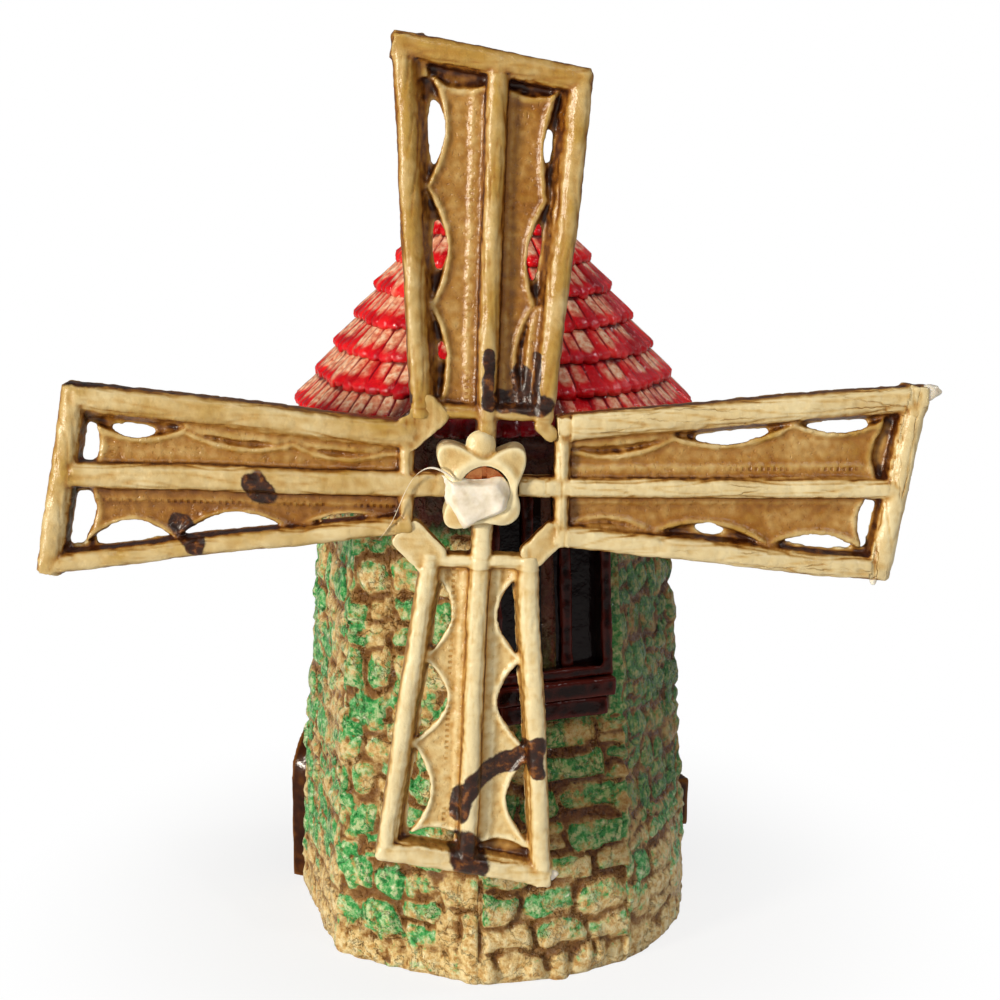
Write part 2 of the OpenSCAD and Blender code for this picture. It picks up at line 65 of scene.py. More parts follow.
# A primitive turned to face the front
UPRIGHT = (math.radians(90), 0, 0)


# ---- The bench: small helps for modelling ----

def take(piece):
    """Selects this piece alone."""
    for other in bpy.context.selected_objects:
        other.select_set(False)
    piece.select_set(True)
    bpy.context.view_layer.objects.active = piece


def begin(name):
    """Names the primitive that was just added, settles it and opens it in edit mode."""
    piece = bpy.context.object
    piece.name = piece.data.name = name
    take(piece)
    bpy.ops.object.transform_apply(location=True, rotation=True, scale=True)
    bpy.ops.object.mode_set(mode="EDIT")
    return piece


def reopen():
    """Opens the piece at hand in edit mode again, with all of it selected."""
    bpy.ops.object.mode_set(mode="EDIT")
    bpy.ops.mesh.select_all(action="SELECT")


def leave(piece):
    """Leaves edit mode."""
    bpy.ops.object.mode_set(mode="OBJECT")
    return piece


def pick(piece, kind, wanted):
    """In edit mode, selects the faces or edges whose middle in mm and direction are wanted."""
    bpy.ops.mesh.select_mode(type={"faces": "FACE", "edges": "EDGE"}[kind])
    bpy.ops.mesh.select_all(action="DESELECT")
    shape = bmesh.from_edit_mesh(piece.data)
    for part in getattr(shape, kind):
        if kind == "faces":
            middle, way = part.calc_center_median(), part.normal
        else:
            middle = (part.verts[0].co + part.verts[1].co) / 2
            way = (part.verts[1].co - part.verts[0].co).normalized()
        if wanted(middle / MM, way):
            part.select_set(True)
    shape.select_flush_mode()
    bmesh.update_edit_mesh(piece.data)


def extrude(x, y, z):
    """Extrudes what is selected by so many mm."""
    bpy.ops.mesh.extrude_region_move(TRANSFORM_OT_translate={"value": (x * MM, y * MM, z * MM)})


def extrude_rings(piece, steps):
    """Extrudes the selected ring from step to step: how far up, and the radius it then has, in mm."""
    for rise, radius in steps:
        extrude(0, 0, rise)
        shape = bmesh.from_edit_mesh(piece.data)
        share = radius * MM / max(v.co.xy.length for v in shape.verts if v.select)
        bpy.ops.transform.resize(value=(share, share, 1), center_override=(0, 0, 0))


def face_outward(piece):
    """Turns the faces of a closed piece outward, and leaves edit mode."""
    bpy.ops.mesh.select_all(action="SELECT")
    bpy.ops.mesh.normals_make_consistent(inside=False)
    return leave(piece)


def finish(piece, kind, **settings):
    """Adds a modifier and applies it."""
    take(piece)
    bpy.ops.object.modifier_add(type=kind)
    modifier = piece.modifiers[-1]
    for name, value in settings.items():
        setattr(modifier, name, value)
    bpy.ops.object.modifier_apply(modifier=modifier.name)
    return piece


def fuse(piece, grain, rounds):
    """Fuses a piece into one skin of this grain in mm, and rounds it off."""
    finish(piece, "REMESH", mode="VOXEL", voxel_size=grain * MM)
    return finish(piece, "SMOOTH", factor=0.5, iterations=rounds)


def join(name, pieces):
    """Joins pieces into the first one."""
    take(pieces[0])
    for piece in pieces:
        piece.select_set(True)
    bpy.ops.object.join()
    pieces[0].name = pieces[0].data.name = name
    return pieces[0]


def put(piece, matrix):
    """Moves a piece that was made at the origin to its place, in its mesh."""
    take(piece)
    piece.matrix_world = matrix
    bpy.ops.object.transform_apply(location=True, rotation=True, scale=True)
    return piece


def put_at(piece, place):
    """Moves a piece to a place in mm."""
    return put(piece, Matrix.Translation(Vector(place) * MM))


def each_point(piece, what):
    """The place or normal of every point, in the scene's metres."""
    flat = np.empty(len(piece.data.vertices) * 3, np.float32)
    piece.data.vertices.foreach_get(what, flat)
    return flat.reshape(-1, 3).astype(float)


def points_of(piece):
    """The places of a piece's points, in mm."""
    return each_point(piece, "co") / MM


def normals_of(piece):
    return each_point(piece, "normal")


def set_points(piece, points):
    piece.data.vertices.foreach_set("co", (points * MM).astype(np.float32).ravel())
    piece.data.update()


def lumps(points, size, seed):
    """Smooth lumps of about this size in mm, from -1 to 1, at each point."""
    shift = Vector((seed * 17.3, seed * 5.1, seed * 9.7))
    return np.array([noise.noise(Vector(p) / size + shift) for p in points])


def ease(low, high, values):
    """0 up to low, 1 from high on, and a smooth rise between them."""
    t = np.clip((values - low) / (high - low), 0, 1)
    return t * t * (3 - 2 * t)


def bell(values, half):
    """1 where the values are 0, falling off to both sides within about twice the half-width."""
    return np.exp(-(values / half) ** 2)


def from_axle(points):
    """How far each point lies from the axle's line."""
    return np.hypot(points[:, 0] - AXLE.x, points[:, 2] - AXLE.z)


def keep(piece, name, values):
    """Keeps one number a point, for the piece's glaze."""
    layer = piece.data.attributes.get(name) or piece.data.attributes.new(name, "FLOAT", "POINT")
    layer.data.foreach_set("value", np.asarray(values, np.float32))


def read(piece, name):
    """The values kept under this name."""
    values = np.empty(len(piece.data.vertices), np.float32)
    piece.data.attributes[name].data.foreach_get("value", values)
    return values


def keep_lay(piece, points):
    """Keeps where each point lies on the piece before it is turned into place, in mm."""
    layer = piece.data.attributes.new("lay", "FLOAT_VECTOR", "POINT")
    layer.data.foreach_set("vector", np.asarray(points, np.float32).ravel())


def relax(piece, rounds):
    """The points after this many rounds of drawing each to the middle of its neighbours."""
    pairs = np.empty(len(piece.data.edges) * 2, np.int32)
    piece.data.edges.foreach_get("vertices", pairs)
    a, b = pairs[0::2], pairs[1::2]
    points = points_of(piece)
    size = len(points)
    count = np.bincount(a, minlength=size) + np.bincount(b, minlength=size)
    for _ in range(rounds):
        total = np.stack([np.bincount(a, points[b, k], size) + np.bincount(b, points[a, k], size)
                          for k in range(3)], axis=1)
        points = total / np.maximum(count, 1)[:, None]
    return points


def mark_hollows(piece, rounds, full):
    """Keeps how hollow or raised the surface is: 0.5 on a flat, 1 in a crevice full mm deep, 0 on a ridge."""
    depth = ((relax(piece, rounds) - points_of(piece)) * normals_of(piece)).sum(axis=1)
    keep(piece, "hollow", np.clip(0.5 + 0.5 * depth / full, 0, 1))


def weather(piece, size, amount, seed):
    """Hand-worked unevenness: pushes the surface in and out by lumps of this size."""
    points = points_of(piece)
    push = lumps(points, size, seed) * amount
    set_points(piece, points + normals_of(piece) * push[:, None])
    return piece


def dress(piece, body, glaze, slot, *replaced):
    """Smooths, glazes and seats a finished piece on its body."""
    take(piece)
    bpy.ops.object.shade_smooth()
    piece.data.materials.clear()
    piece.data.materials.append(glaze)
    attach(piece, body)
    if replaced:
        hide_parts(*replaced)
    return piece


# ---- Materials ----

def ink(code):
    """An sRGB hex colour as linear red, green, blue and alpha."""
    parts = [int(code[i:i + 2], 16) / 255 for i in (1, 3, 5)]
    return [c / 12.92 if c <= 0.04045 else ((c + 0.055) / 1.055) ** 2.4 for c in parts] + [1.0]


def add(tree, kind, inputs=(), stops=(), **settings):
    """Adds a node. Its live inputs are given in their order, or some of them by name: each a value, a
    socket, or a node that stands for its first live output. stops are a ramp's places and colours."""
    node = tree.nodes.new("ShaderNode" + kind)
    for name, value in settings.items():
        setattr(node, name, value)
    if stops:
        ends = node.color_ramp.elements
        for end, (place, code) in zip(ends, (stops[0], stops[-1])):
            end.position, end.color = place, ink(code)
        for place, code in stops[1:-1]:
            ends.new(place).color = ink(code)
    live = [socket for socket in node.inputs if socket.enabled]
    for key, value in inputs.items() if isinstance(inputs, dict) else enumerate(inputs):
        socket = node.inputs[key] if isinstance(key, str) else live[key]
        if isinstance(value, bpy.types.Node):
            value = next(output for output in value.outputs if output.enabled)
        if isinstance(value, bpy.types.NodeSocket):
            tree.links.new(value, socket)
        else:
            socket.default_value = value
    return node


def new_glaze(name, *kept):
    """Starts a material: it, its tree, the place of a point, and the numbers kept under these names."""
    made = bpy.data.materials.new(name)
    made.use_nodes = True
    tree = made.node_tree
    tree.nodes.clear()
    place = add(tree, "TexCoord").outputs["Object"]
    return made, tree, place, *(add(tree, "Attribute", attribute_name=name).outputs["Fac"] for name in kept)


def fire(made, colour, height, depth, shine):
    """Closes a material: a bump of this depth in mm, and the glossy fired surface."""
    tree = made.node_tree
    bump = add(tree, "Bump", {"Strength": 1.0, "Distance": depth * MM, "Height": height})
    shader = add(tree, "BsdfPrincipled", {"Base Color": colour, "Normal": bump, **shine})
    add(tree, "OutputMaterial", [shader])
    return made


# A noise takes the place, its lumps per metre, their detail and how rough they are


def stone_glaze():
    """Copper-green and clear lead glaze over tan earthenware, brushed on by hand. The green lies in
    mottled patches on the stones, the crumbly tan clay shows round them, brown slip stays in the
    deepest crevices and in fine cracks, and a thick olive glaze ran down over the shaded side. The
    olive darkening there is partly painted shade, the lighter tops of the stones are partly a
    painted highlight, and painted shade darkens the place behind the hub."""
    made, tree, place, hollow, green, olive_and_shade, shade_and_black = new_glaze(
        "copper_green_glazed_earthenware", "hollow", "green", "olive_and_shade", "shade_and_black")
    # Brush patches about 8 mm wide, crumbs about 2 mm wide, grains under 1 mm, and veins about 9 mm apart
    patch, crumb, grain = (add(tree, "TexNoise", (place, *size))
                           for size in ((140, 8, 0.72), (520, 6, 0.7), (1600, 3, 0.6)))
    vein = add(tree, "TexNoise", {"Vector": place, "Scale": 110, "Detail": 5, "Roughness": 0.62,
                                  "Distortion": 0.4})
    # A crooked crack runs where the vein passes its middle
    vein = add(tree, "Math", (vein, 0.5), operation="SUBTRACT")
    vein = add(tree, "Math", [vein], operation="ABSOLUTE")
    crack = add(tree, "MapRange", (vein, 0.0, 0.014, 1.0, 0.0))
    tan = add(tree, "ValToRGB", [crumb], ((0.24, "#7E4A18"), (0.37, "#C29450"), (0.5, "#DEBE7E"),
                                          (0.63, "#EED8A0"), (0.76, "#FCF0CC")))
    leaf = add(tree, "ValToRGB", [crumb], ((0.28, "#0C4A18"), (0.38, "#128A38"), (0.5, "#46AE5C"),
                                           (0.6, "#9CD094"), (0.69, "#F8F8E0")))
    # The green was laid on the stones, not into the joints
    joint = add(tree, "MapRange", (hollow, 0.54, 0.85, 0, 0.3))
    cover = add(tree, "Math", (patch, green), operation="ADD")
    cover = add(tree, "Math", (crumb, 0.35, cover), operation="MULTIPLY_ADD")
    cover = add(tree, "Math", (cover, joint), operation="SUBTRACT")
    cover = add(tree, "MapRange", (cover, 1.08, 1.2), interpolation_type="SMOOTHSTEP")
    # The tops of the stones are rubbed lighter: thinner glaze, and a painted highlight
    rub_and_highlight = add(tree, "MapRange", (hollow, 0.46, 0.1, 0, 0.5))
    fleck = add(tree, "MapRange", (crumb, 0.46, 0.54))
    rub_and_highlight = add(tree, "Math", (rub_and_highlight, fleck), operation="MULTIPLY")
    # A thin brown wash gathers towards the joints
    thin = add(tree, "Math", (crumb, -0.7, hollow), operation="MULTIPLY_ADD")
    thin = add(tree, "MapRange", (thin, 0.12, 0.42, 0, 0.85))
    # Brown slip stays in the crevices and cracks. It is lighter on the lit side and along the foot
    # than under the olive: partly slip wiped thinner, partly painted shade on the shaded side
    deep = add(tree, "Math", (patch, 0.45, hollow), operation="MULTIPLY_ADD")
    deep = add(tree, "Math", (crack, 0.42, deep), operation="MULTIPLY_ADD")
    deep = add(tree, "MapRange", (deep, 0.98, 1.16, 0, 0.94), interpolation_type="SMOOTHSTEP")
    firm = add(tree, "MapRange", (olive_and_shade, 0.05, 0.5, 0.58))
    deep = add(tree, "Math", (deep, firm), operation="MULTIPLY")
    slip = add(tree, "ValToRGB", [crumb], ((0.35, "#341002"), (0.55, "#643408"), (0.75, "#8A581C")))
    # The coats one over the other, and last a dark maroon: painted shade round the boss behind the hub, and
    # black in the window's pocket
    body = tan
    for share, coat, blend in ((cover, leaf, "MIX"), (rub_and_highlight, ink("#EFE2B4"), "MIX"),
                               (olive_and_shade, ink("#A88A22"), "MULTIPLY"), (thin, ink("#9A7434"), "MULTIPLY"),
                               (deep, slip, "MIX"), (shade_and_black, ink("#54120E"), "MIX")):
        body = add(tree, "Mix", (share, body, coat), data_type="RGBA", blend_type=blend)
    rise = add(tree, "Math", (grain, 0.35, crumb), operation="MULTIPLY_ADD")
    rise = add(tree, "Math", (crack, -0.6, rise), operation="MULTIPLY_ADD")
    return fire(made, body, rise, 1.0, {"Roughness": 0.07, "IOR": 1.5})


def roof_glaze():
    """Cadmium-red overglaze over tan earthenware. It was wiped over the shingles, so it is thick and
    deep in the grooves and on the butts, and the pinkish tan clay shows through higher up."""
    made, tree, place, hollow, rise, wiped = new_glaze(
        "red_overglazed_earthenware", "hollow", "rise", "wiped")
    # Wiped patches about 11 mm wide, and pits under 2 mm
    patch = add(tree, "TexNoise", (place, 90, 4, 0.6))
    pits = add(tree, "TexNoise", (place, 600, 3, 0.55))
    red = add(tree, "ValToRGB", [patch], ((0.3, "#98020E"), (0.5, "#D60816"), (0.7, "#F4302C")))
    clay = add(tree, "ValToRGB", [pits], ((0.3, "#C8644A"), (0.48, "#EAAE88"), (0.64, "#FBE2C0")))
    bare = add(tree, "Math", (patch, 0.6, wiped), operation="MULTIPLY_ADD")
    bare = add(tree, "MapRange", (bare, 0.7, 0.96, 0, 0.85), interpolation_type="SMOOTHSTEP")
    body = add(tree, "Mix", (bare, red, clay), data_type="RGBA")
    deep = add(tree, "MapRange", (hollow, 0.54, 0.82, 0, 0.85), interpolation_type="SMOOTHSTEP")
    body = add(tree, "Mix", (deep, body, ink("#5A0210")), data_type="RGBA")
    height = add(tree, "Math", (rise, 0.3, pits), operation="MULTIPLY_ADD")
    return fire(made, body, height, 0.5, {"Roughness": 0.08, "IOR": 1.42})


def sail_glaze():
    """Clear honey glaze over cream earthenware with iron-brown wash. The wash was wiped off the poles
    and stays in every crevice, crack and pit, and thicker dabs of brown were dropped on here and there.
    Wash and honey also carry painted shade: on the flanks of the poles, and over the top sail."""
    made, tree, place, hollow, cloth, seam, amber_and_shade, bark, dab = new_glaze(
        "honey_glazed_cream_earthenware", "hollow", "cloth", "seam", "amber_and_shade", "bark", "dab")
    lay = add(tree, "Attribute", attribute_name="lay").outputs["Vector"]
    # Warm patches about 14 mm wide, and mottles over 2 mm
    warmth = add(tree, "TexNoise", (place, 70, 3, 0.55))
    mottle = add(tree, "TexNoise", (place, 420, 4, 0.6))
    # Bark-like cracks along the poles, 3 mm apart and 25 mm long, here and there
    wander = add(tree, "TexNoise", (lay, 0.35, 2)).outputs["Color"]
    bent = add(tree, "VectorMath", (wander, (1.6, 1.6, 5.0), lay), operation="MULTIPLY_ADD")
    long = add(tree, "Mapping", {"Vector": bent, "Scale": (0.33, 0.33, 0.04)})
    crack = add(tree, "TexVoronoi", {"Vector": long, "Scale": 1.0}, feature="DISTANCE_TO_EDGE")
    crack = add(tree, "MapRange", (crack, 0.0, 0.05, 1.0, 0.0))
    some = add(tree, "Math", (warmth, bark), operation="ADD")
    some = add(tree, "MapRange", (some, 1.0, 1.12))
    crack = add(tree, "Math", (crack, some), operation="MULTIPLY")
    # Short curved marks pressed into the cloth with the end of a tool, about 1.3 mm apart
    marks = add(tree, "TexVoronoi", {"Vector": bent, "Scale": 0.75, "Randomness": 1.0}, feature="F1")
    marks = add(tree, "MapRange", (marks, 0.12, 0.3, 1.0, 0.0))
    marks = add(tree, "Math", (marks, cloth), operation="MULTIPLY")
    # A row of stitches beside the spar, one every 1.6 mm, worn away in places
    along = add(tree, "SeparateXYZ", [lay]).outputs["Z"]
    beat = add(tree, "Math", (along, 0.8), operation="PINGPONG")
    beat = add(tree, "MapRange", (beat, 0.25, 0.45, 1.0, 0.0))
    near = add(tree, "Math", [seam], operation="ABSOLUTE")
    near = add(tree, "MapRange", (near, 0.35, 0.6, 1.0, 0.0))
    stitch = add(tree, "Math", (beat, near), operation="MULTIPLY")
    patchy = add(tree, "MapRange", (warmth, 0.42, 0.56))
    stitch = add(tree, "Math", (stitch, patchy), operation="MULTIPLY")
    # The wash, with the painted shade on the pole flanks and over the top sail kept in the hollows
    wash_and_shade = hollow
    for part, weight in ((mottle, 0.2), (crack, 0.24), (marks, 0.03), (stitch, 0.14)):
        wash_and_shade = add(tree, "Math", (part, weight, wash_and_shade), operation="MULTIPLY_ADD")
    body = add(tree, "ValToRGB", [wash_and_shade], ((0.42, "#E6D8AE"), (0.58, "#D6BC84"), (0.72, "#B88C46"),
                                          (0.9, "#85561E"), (1.12, "#46220A")))
    # Honey darkens the body, partly as painted shade that leaves the bottom sail palest
    honey_and_shade = add(tree, "Math", (amber_and_shade, warmth), operation="MULTIPLY")
    honey_and_shade = add(tree, "MapRange", (honey_and_shade, 0.1, 0.5))
    body = add(tree, "Mix", (honey_and_shade, body, ink("#C4A868")), data_type="RGBA", blend_type="MULTIPLY")
    # The dabs, ragged along their edges
    brown = add(tree, "ValToRGB", [mottle], ((0.42, "#220C03"), (0.55, "#3C1A06"), (0.68, "#7E4A16")))
    edge = add(tree, "Math", (mottle, 0.6, -0.3), operation="MULTIPLY_ADD")
    spot = add(tree, "Math", (dab, edge), operation="ADD")
    spot = add(tree, "MapRange", (spot, 0.35, 0.6), interpolation_type="SMOOTHSTEP")
    body = add(tree, "Mix", (spot, body, brown), data_type="RGBA")
    height = mottle
    for part, weight in ((crack, -0.6), (marks, -0.25), (stitch, -0.4)):
        height = add(tree, "Math", (part, weight, height), operation="MULTIPLY_ADD")
    return fire(made, body, height, 0.35, {"Roughness": 0.32, "IOR": 1.5})


def brown_glaze(name, light, deep, rough):
    """Manganese-brown glaze, poured thick, so it is dark, wet-looking and a little lighter on edges."""
    made, tree, place, hollow = new_glaze(name, "hollow")
    # Mottles about 6 mm wide
    mottle = add(tree, "TexNoise", (place, 160, 4, 0.6))
    mark = add(tree, "Math", (mottle, 0.5, hollow), operation="MULTIPLY_ADD")
    body = add(tree, "ValToRGB", [mark], ((0.5, light), (0.72, deep), (0.95, "#0B0303")))
    return fire(made, body, mottle, 0.3, {"Roughness": rough, "IOR": 1.28})


def plain_metal(name, low, high, rough):
    """Plated steel, turned: a slightly uneven plating in clouds of 2 mm, duller here and there."""
    made, tree, place = new_glaze(name)
    cloud = add(tree, "TexNoise", (place, 500, 4))
    body = add(tree, "ValToRGB", [cloud], ((0.35, low), (0.65, high)))
    sheen = add(tree, "MapRange", {"Value": cloud, "To Min": rough - 0.08, "To Max": rough + 0.1})
    return fire(made, body, cloud, 0.02, {"Roughness": sheen, "Metallic": 1.0})


def hot_glue():
    """Clear hot-melt glue, cloudy white where it is thick, with a soft wax-like shine."""
    made, tree, place = new_glaze("hot_melt_glue")
    # Clouds about 4 mm wide
    cloud = add(tree, "TexNoise", (place, 260, 3))
    body = add(tree, "ValToRGB", [cloud], ((0.3, "#CDBFA4"), (0.5, "#E9E0CF"), (0.7, "#F6F1E8")))
    return fire(made, body, cloud, 0.25, {"Roughness": 0.3, "Subsurface Weight": 0.25,
                                          "Subsurface Scale": 0.5,
                                          "Subsurface Radius": (0.004, 0.003, 0.002)})


STONE = stone_glaze()
RED = roof_glaze()
CREAM = sail_glaze()
MAROON = brown_glaze("manganese_maroon_glaze", "#4A160F", "#1C0705", 0.14)
BLACK = brown_glaze("manganese_black_glaze", "#120406", "#050102", 0.1)
DARK = brown_glaze("iron_brown_glaze", "#6E4218", "#3A1C0C", 0.14)
COPPER = plain_metal("copper_plated_steel", "#C0683C", "#E59A62", 0.26)
ZINC = plain_metal("zinc_plated_steel", "#9A9C9E", "#C6C8CA", 0.32)
GLUE = hot_glue()


# ---- Tower ----

def wall_r(z):
    """Corner radius of the tower at a height."""
    return FOOT_R - (FOOT_R - HEAD_R) * (np.clip(z, 0, TOWER_H) / TOWER_H) ** WALL_CURVE


def face_way(face):
    """The direction in which a face looks, in radians to the right of the front."""
    return np.radians(HALF_FACE * (2 * face + 1) - TURN)


def wall_places(points):
    """For each point: the number of its face, how far it lies along the face, the face's direction, and
    the point's own angle from the front corner. A corner counts with the face on its left."""
    angle = np.degrees(np.arctan2(points[:, 0], -points[:, 1])) + TURN - 1e-3
    face = np.floor(angle / FACE).astype(int)
    face = (face + FACES // 2) % FACES - FACES // 2
    way = face_way(face)
    along = points[:, 0] * np.cos(way) + points[:, 1] * np.sin(way)
    return face, along, way, angle


def by_face(face, amounts, rest):
    """For each point, the amount of the face that it lies on."""
    return np.array([amounts.get(f, rest) for f in face])


# Breadth of the stones of a face, height of its courses, how far the stones stand out, and how many are
# laid as two thin ones: squarish blocks on the left, long pillows on the right
MASONRY = {-2: ((6, 13), (8, 13), 1.1, 0.4), -1: ((6, 15), (8, 13), 1.5, 0.4),
           0: ((12, 25), (8, 11.5), 2.0, 0.25), 1: ((8, 18), (8, 12), 1.2, 0.3)}
PLAIN_MASONRY = ((8, 16), (9, 13), 1.1, 0.3)
# How steeply the courses of a face hang, and how rugged its stones are
HANG = {face: 0.03 * math.sin(3.1 * face) for face in ALL_FACES} | {-1: -0.075, 0: 0.02, 1: 0.12}
RUGGED = {-1: 1.1, 0: 0.75, 1: 0.8}
# How much rounder than an eight-sided ring the foot is, and how much olive glaze and painted shade a face got
ROUNDER = {-1: 0.25, 0: 0.7, 1: 1.0}
SHADED = {0: 0.68, 1: 0.8, 2: 0.55}
# The lowest course is this high, and its stones are this broad
FOOTING, FOOTING_BREADTHS = 9.0, (4.5, 8.0)
# Stones are laid this far to both sides of a face's middle, past its corners
FACE_REACH = 30.0
# A joint's half-width, and how far in from it a stone is at its full height
JOINT, SHOULDER = 0.35, 2.4
# How often the wall is cut across its height and across a face, to carve the stones into it
RISE_CUTS, FACE_CUTS = 183, 61
# The window's pocket: half-width, foot, top and depth
POCKET_HALF, POCKET_FOOT, POCKET_TOP, POCKET_DEPTH = 16, 77, 139.5, 5.4
# The inside, from the ring it stands on to the ring under the roof: how far up, and the radius there
INSIDE = ((0, 53.5), (52, 51.4), (51.5, 47.2), (51.5, 41.5))


def stones_of(face, seed):
    """Sides, foot and top of every stone of a face, with how far it stands out and its own number."""
    dice = random.Random(seed)
    breadths, heights, stand, split = MASONRY.get(face, PLAIN_MASONRY)
    low, top = 0.0, FOOTING
    while low < TOWER_H:
        left, step = -FACE_REACH, FOOTING_BREADTHS if low == 0 else breadths
        while left < FACE_REACH:
            right = left + dice.uniform(*step)
            drop, cut = dice.uniform(-1.0, 1.0), dice.uniform(0.4, 0.6)
            feet = [low + drop, top + drop]
            if low > 0 and dice.random() < split:
                feet.insert(1, feet[0] + cut * (top - low))
            for foot, head in zip(feet, feet[1:]):
                yield left, right, foot, head, stand * dice.uniform(0.6, 1.3), dice.random()
            left = right
        low, top = top, top + dice.uniform(*heights)


def lay_stones(face, u, z, seed):
    """Height of one face's stones over its joints, and a number for each stone."""
    lift, mark = np.zeros(len(u)), np.zeros(len(u))
    for left, right, foot, head, stand, number in stones_of(face, seed):
        here = (u >= left) & (u < right) & (z >= foot) & (z < head)
        a, b = u[here], z[here]
        across, upward = np.minimum(a - left, right - a), np.minimum(b - foot, head - b)
        # How far in from the joint, with the stone's corners rounded
        r = 0.4 * min(right - left, head - foot)
        rounded = r - np.hypot(np.maximum(r - across, 0), np.maximum(r - upward, 0))
        inside = np.minimum(np.minimum(across, upward) - JOINT, rounded - JOINT)
        crown = np.clip(1 - (1 - np.clip(inside / SHOULDER, 0, 1)) ** 2, 0, 1)
        # A stone is fullest a little below its middle, and leans to one side
        belly = 0.35 * ((foot + head) / 2 - b) / (head - foot)
        lean = (number - 0.5) * (a - (left + right) / 2) / (right - left)
        lift[here] = stand * crown * (1 + belly + lean)
        mark[here] = number
    return lift, mark


def carve_stones(tower):
    """Brings the wall to its curve and raises the stones out of it."""
    points = points_of(tower)
    face, u, way, angle = wall_places(points)
    z = points[:, 2].copy()
    shrink = wall_r(z) / FOOT_R
    points[:, :2] *= shrink[:, None]
    u = u * shrink
    # The joints wander, and the courses of each face hang their own way
    wave = 2.0 * lumps(points, 24, 1) + 2.0 * lumps(points, 9, 2) + 0.8 * lumps(points, 4, 7)
    across = u + 2.4 * lumps(points, 15, 3) + 1.7 * lumps(points, 6, 8)
    upward = z + wave + by_face(face, HANG, 0) * u
    lift, mark = np.zeros(len(z)), np.zeros(len(z))
    for f in ALL_FACES:
        here = face == f
        lift[here], mark[here] = lay_stones(f, across[here], upward[here], 30 + f)
    keep(tower, "stone", mark)
    # Here and there a joint was filled, and crooked cracks run over the stones
    lift = np.maximum(lift, 1.15 * ease(0.12, 0.6, lumps(points, 11, 14)))
    lift = lift - 0.5 * bell(lumps(points, 13, 15), 0.06) * (face != WINDOW_FACE)
    # The stones of the foot are worn lower
    lift = lift * (1 - 0.3 * ease(28, 8, z))
    rugged = 0.65 * lumps(points, 6.0, 4) + 0.5 * lumps(points, 3.2, 5) + 0.22 * lumps(points, 1.8, 9)
    worn = lift + by_face(face, RUGGED, 0.85) * rugged - 1.25
    # The joint right of the front corner was cut deep at the foot
    from_corner = np.radians(angle) * np.hypot(points[:, 0], points[:, 1])
    slot = (face == 0) * ease(2.2, 1.4, from_corner) * ease(36, 30, z)
    worn = worn * (1 - slot) - 1.3 * slot
    # Smooth strips round the window, the doors and the boss of the axle
    flat = np.maximum.reduce([
        (face == WINDOW_FACE) * ease(POCKET_HALF + 6, POCKET_HALF + 3.5, np.abs(u))
        * ease(POCKET_FOOT - 3.5, POCKET_FOOT - 0.5, z) * ease(POCKET_TOP + 6.5, POCKET_TOP + 3.5, z),
        (face == DOOR_FACE) * ease(20, 18, np.abs(u)) * ease(54, 51, z),
        (face == CELLAR_FACE) * ease(19, 17, np.abs(u)) * ease(18, 20, z) * ease(40, 37, z),
        ease(11, 9, from_axle(points)) * (points[:, 1] < 0)])
    worn = worn * (1 - flat) - 0.2 * flat
    # A corner is pushed out along its own direction
    corner = np.abs((angle + HALF_FACE) % FACE - HALF_FACE) < 0.01
    out = np.where(corner, np.arctan2(points[:, 0], -points[:, 1]), way)
    half = math.cos(math.radians(HALF_FACE))
    reach = np.where(corner, worn / half, worn)
    points[:, 0] += np.sin(out) * reach
    points[:, 1] -= np.cos(out) * reach
    # The foot is rounder on the right, and spreads a little at its left front corner
    off = np.radians(angle - FACE * face - HALF_FACE)
    fuller = (1 / half * np.cos(off) - 1) * by_face(face, ROUNDER, 0)
    spread = bell(angle + FACE, 15) * np.clip(1 - z / 60, 0, 1) ** 1.5
    points[:, :2] *= (1 + fuller * ease(50, 10, z) + 0.015 * spread)[:, None]
    points[:, 2] = np.where(z < 0.01, 0, np.where(z > TOWER_H - 0.01, TOWER_H, points[:, 2]))
    set_points(tower, points)


def make_tower():
    """The wall starts as an eight-sided cylinder, cut fine enough to carve the stones into it."""
    bpy.ops.mesh.primitive_cylinder_add(
        vertices=FACES, radius=FOOT_R * MM, depth=TOWER_H * MM, end_fill_type="NOTHING",
        location=(0, 0, TOWER_H / 2 * MM), rotation=(0, 0, math.radians(-TURN)))
    tower = begin("tower")
    pick(tower, "edges", lambda middle, way: abs(way.z) > 0.5)
    bpy.ops.mesh.subdivide(number_cuts=RISE_CUTS)
    pick(tower, "edges", lambda middle, way: abs(way.z) < 0.5)
    bpy.ops.mesh.subdivide(number_cuts=FACE_CUTS)
    leave(tower)
    carve_stones(tower)
    reopen()
    way = face_way(WINDOW_FACE)

    def in_window(middle, normal):
        side = middle.x * math.cos(way) + middle.y * math.sin(way)
        out = middle.x * math.sin(way) - middle.y * math.cos(way)
        return out > 30 and abs(side) < POCKET_HALF and POCKET_FOOT < middle.z < POCKET_TOP

    pick(tower, "faces", in_window)
    extrude(-POCKET_DEPTH * math.sin(way), POCKET_DEPTH * math.cos(way), 0)
    pick(tower, "edges", lambda middle, way: middle.z < 0.01)
    extrude_rings(tower, INSIDE)
    pick(tower, "edges", lambda middle, way: middle.z > TOWER_H - 0.01 and abs(way.z) < 0.1)
    bpy.ops.mesh.bridge_edge_loops()
    return leave(tower)


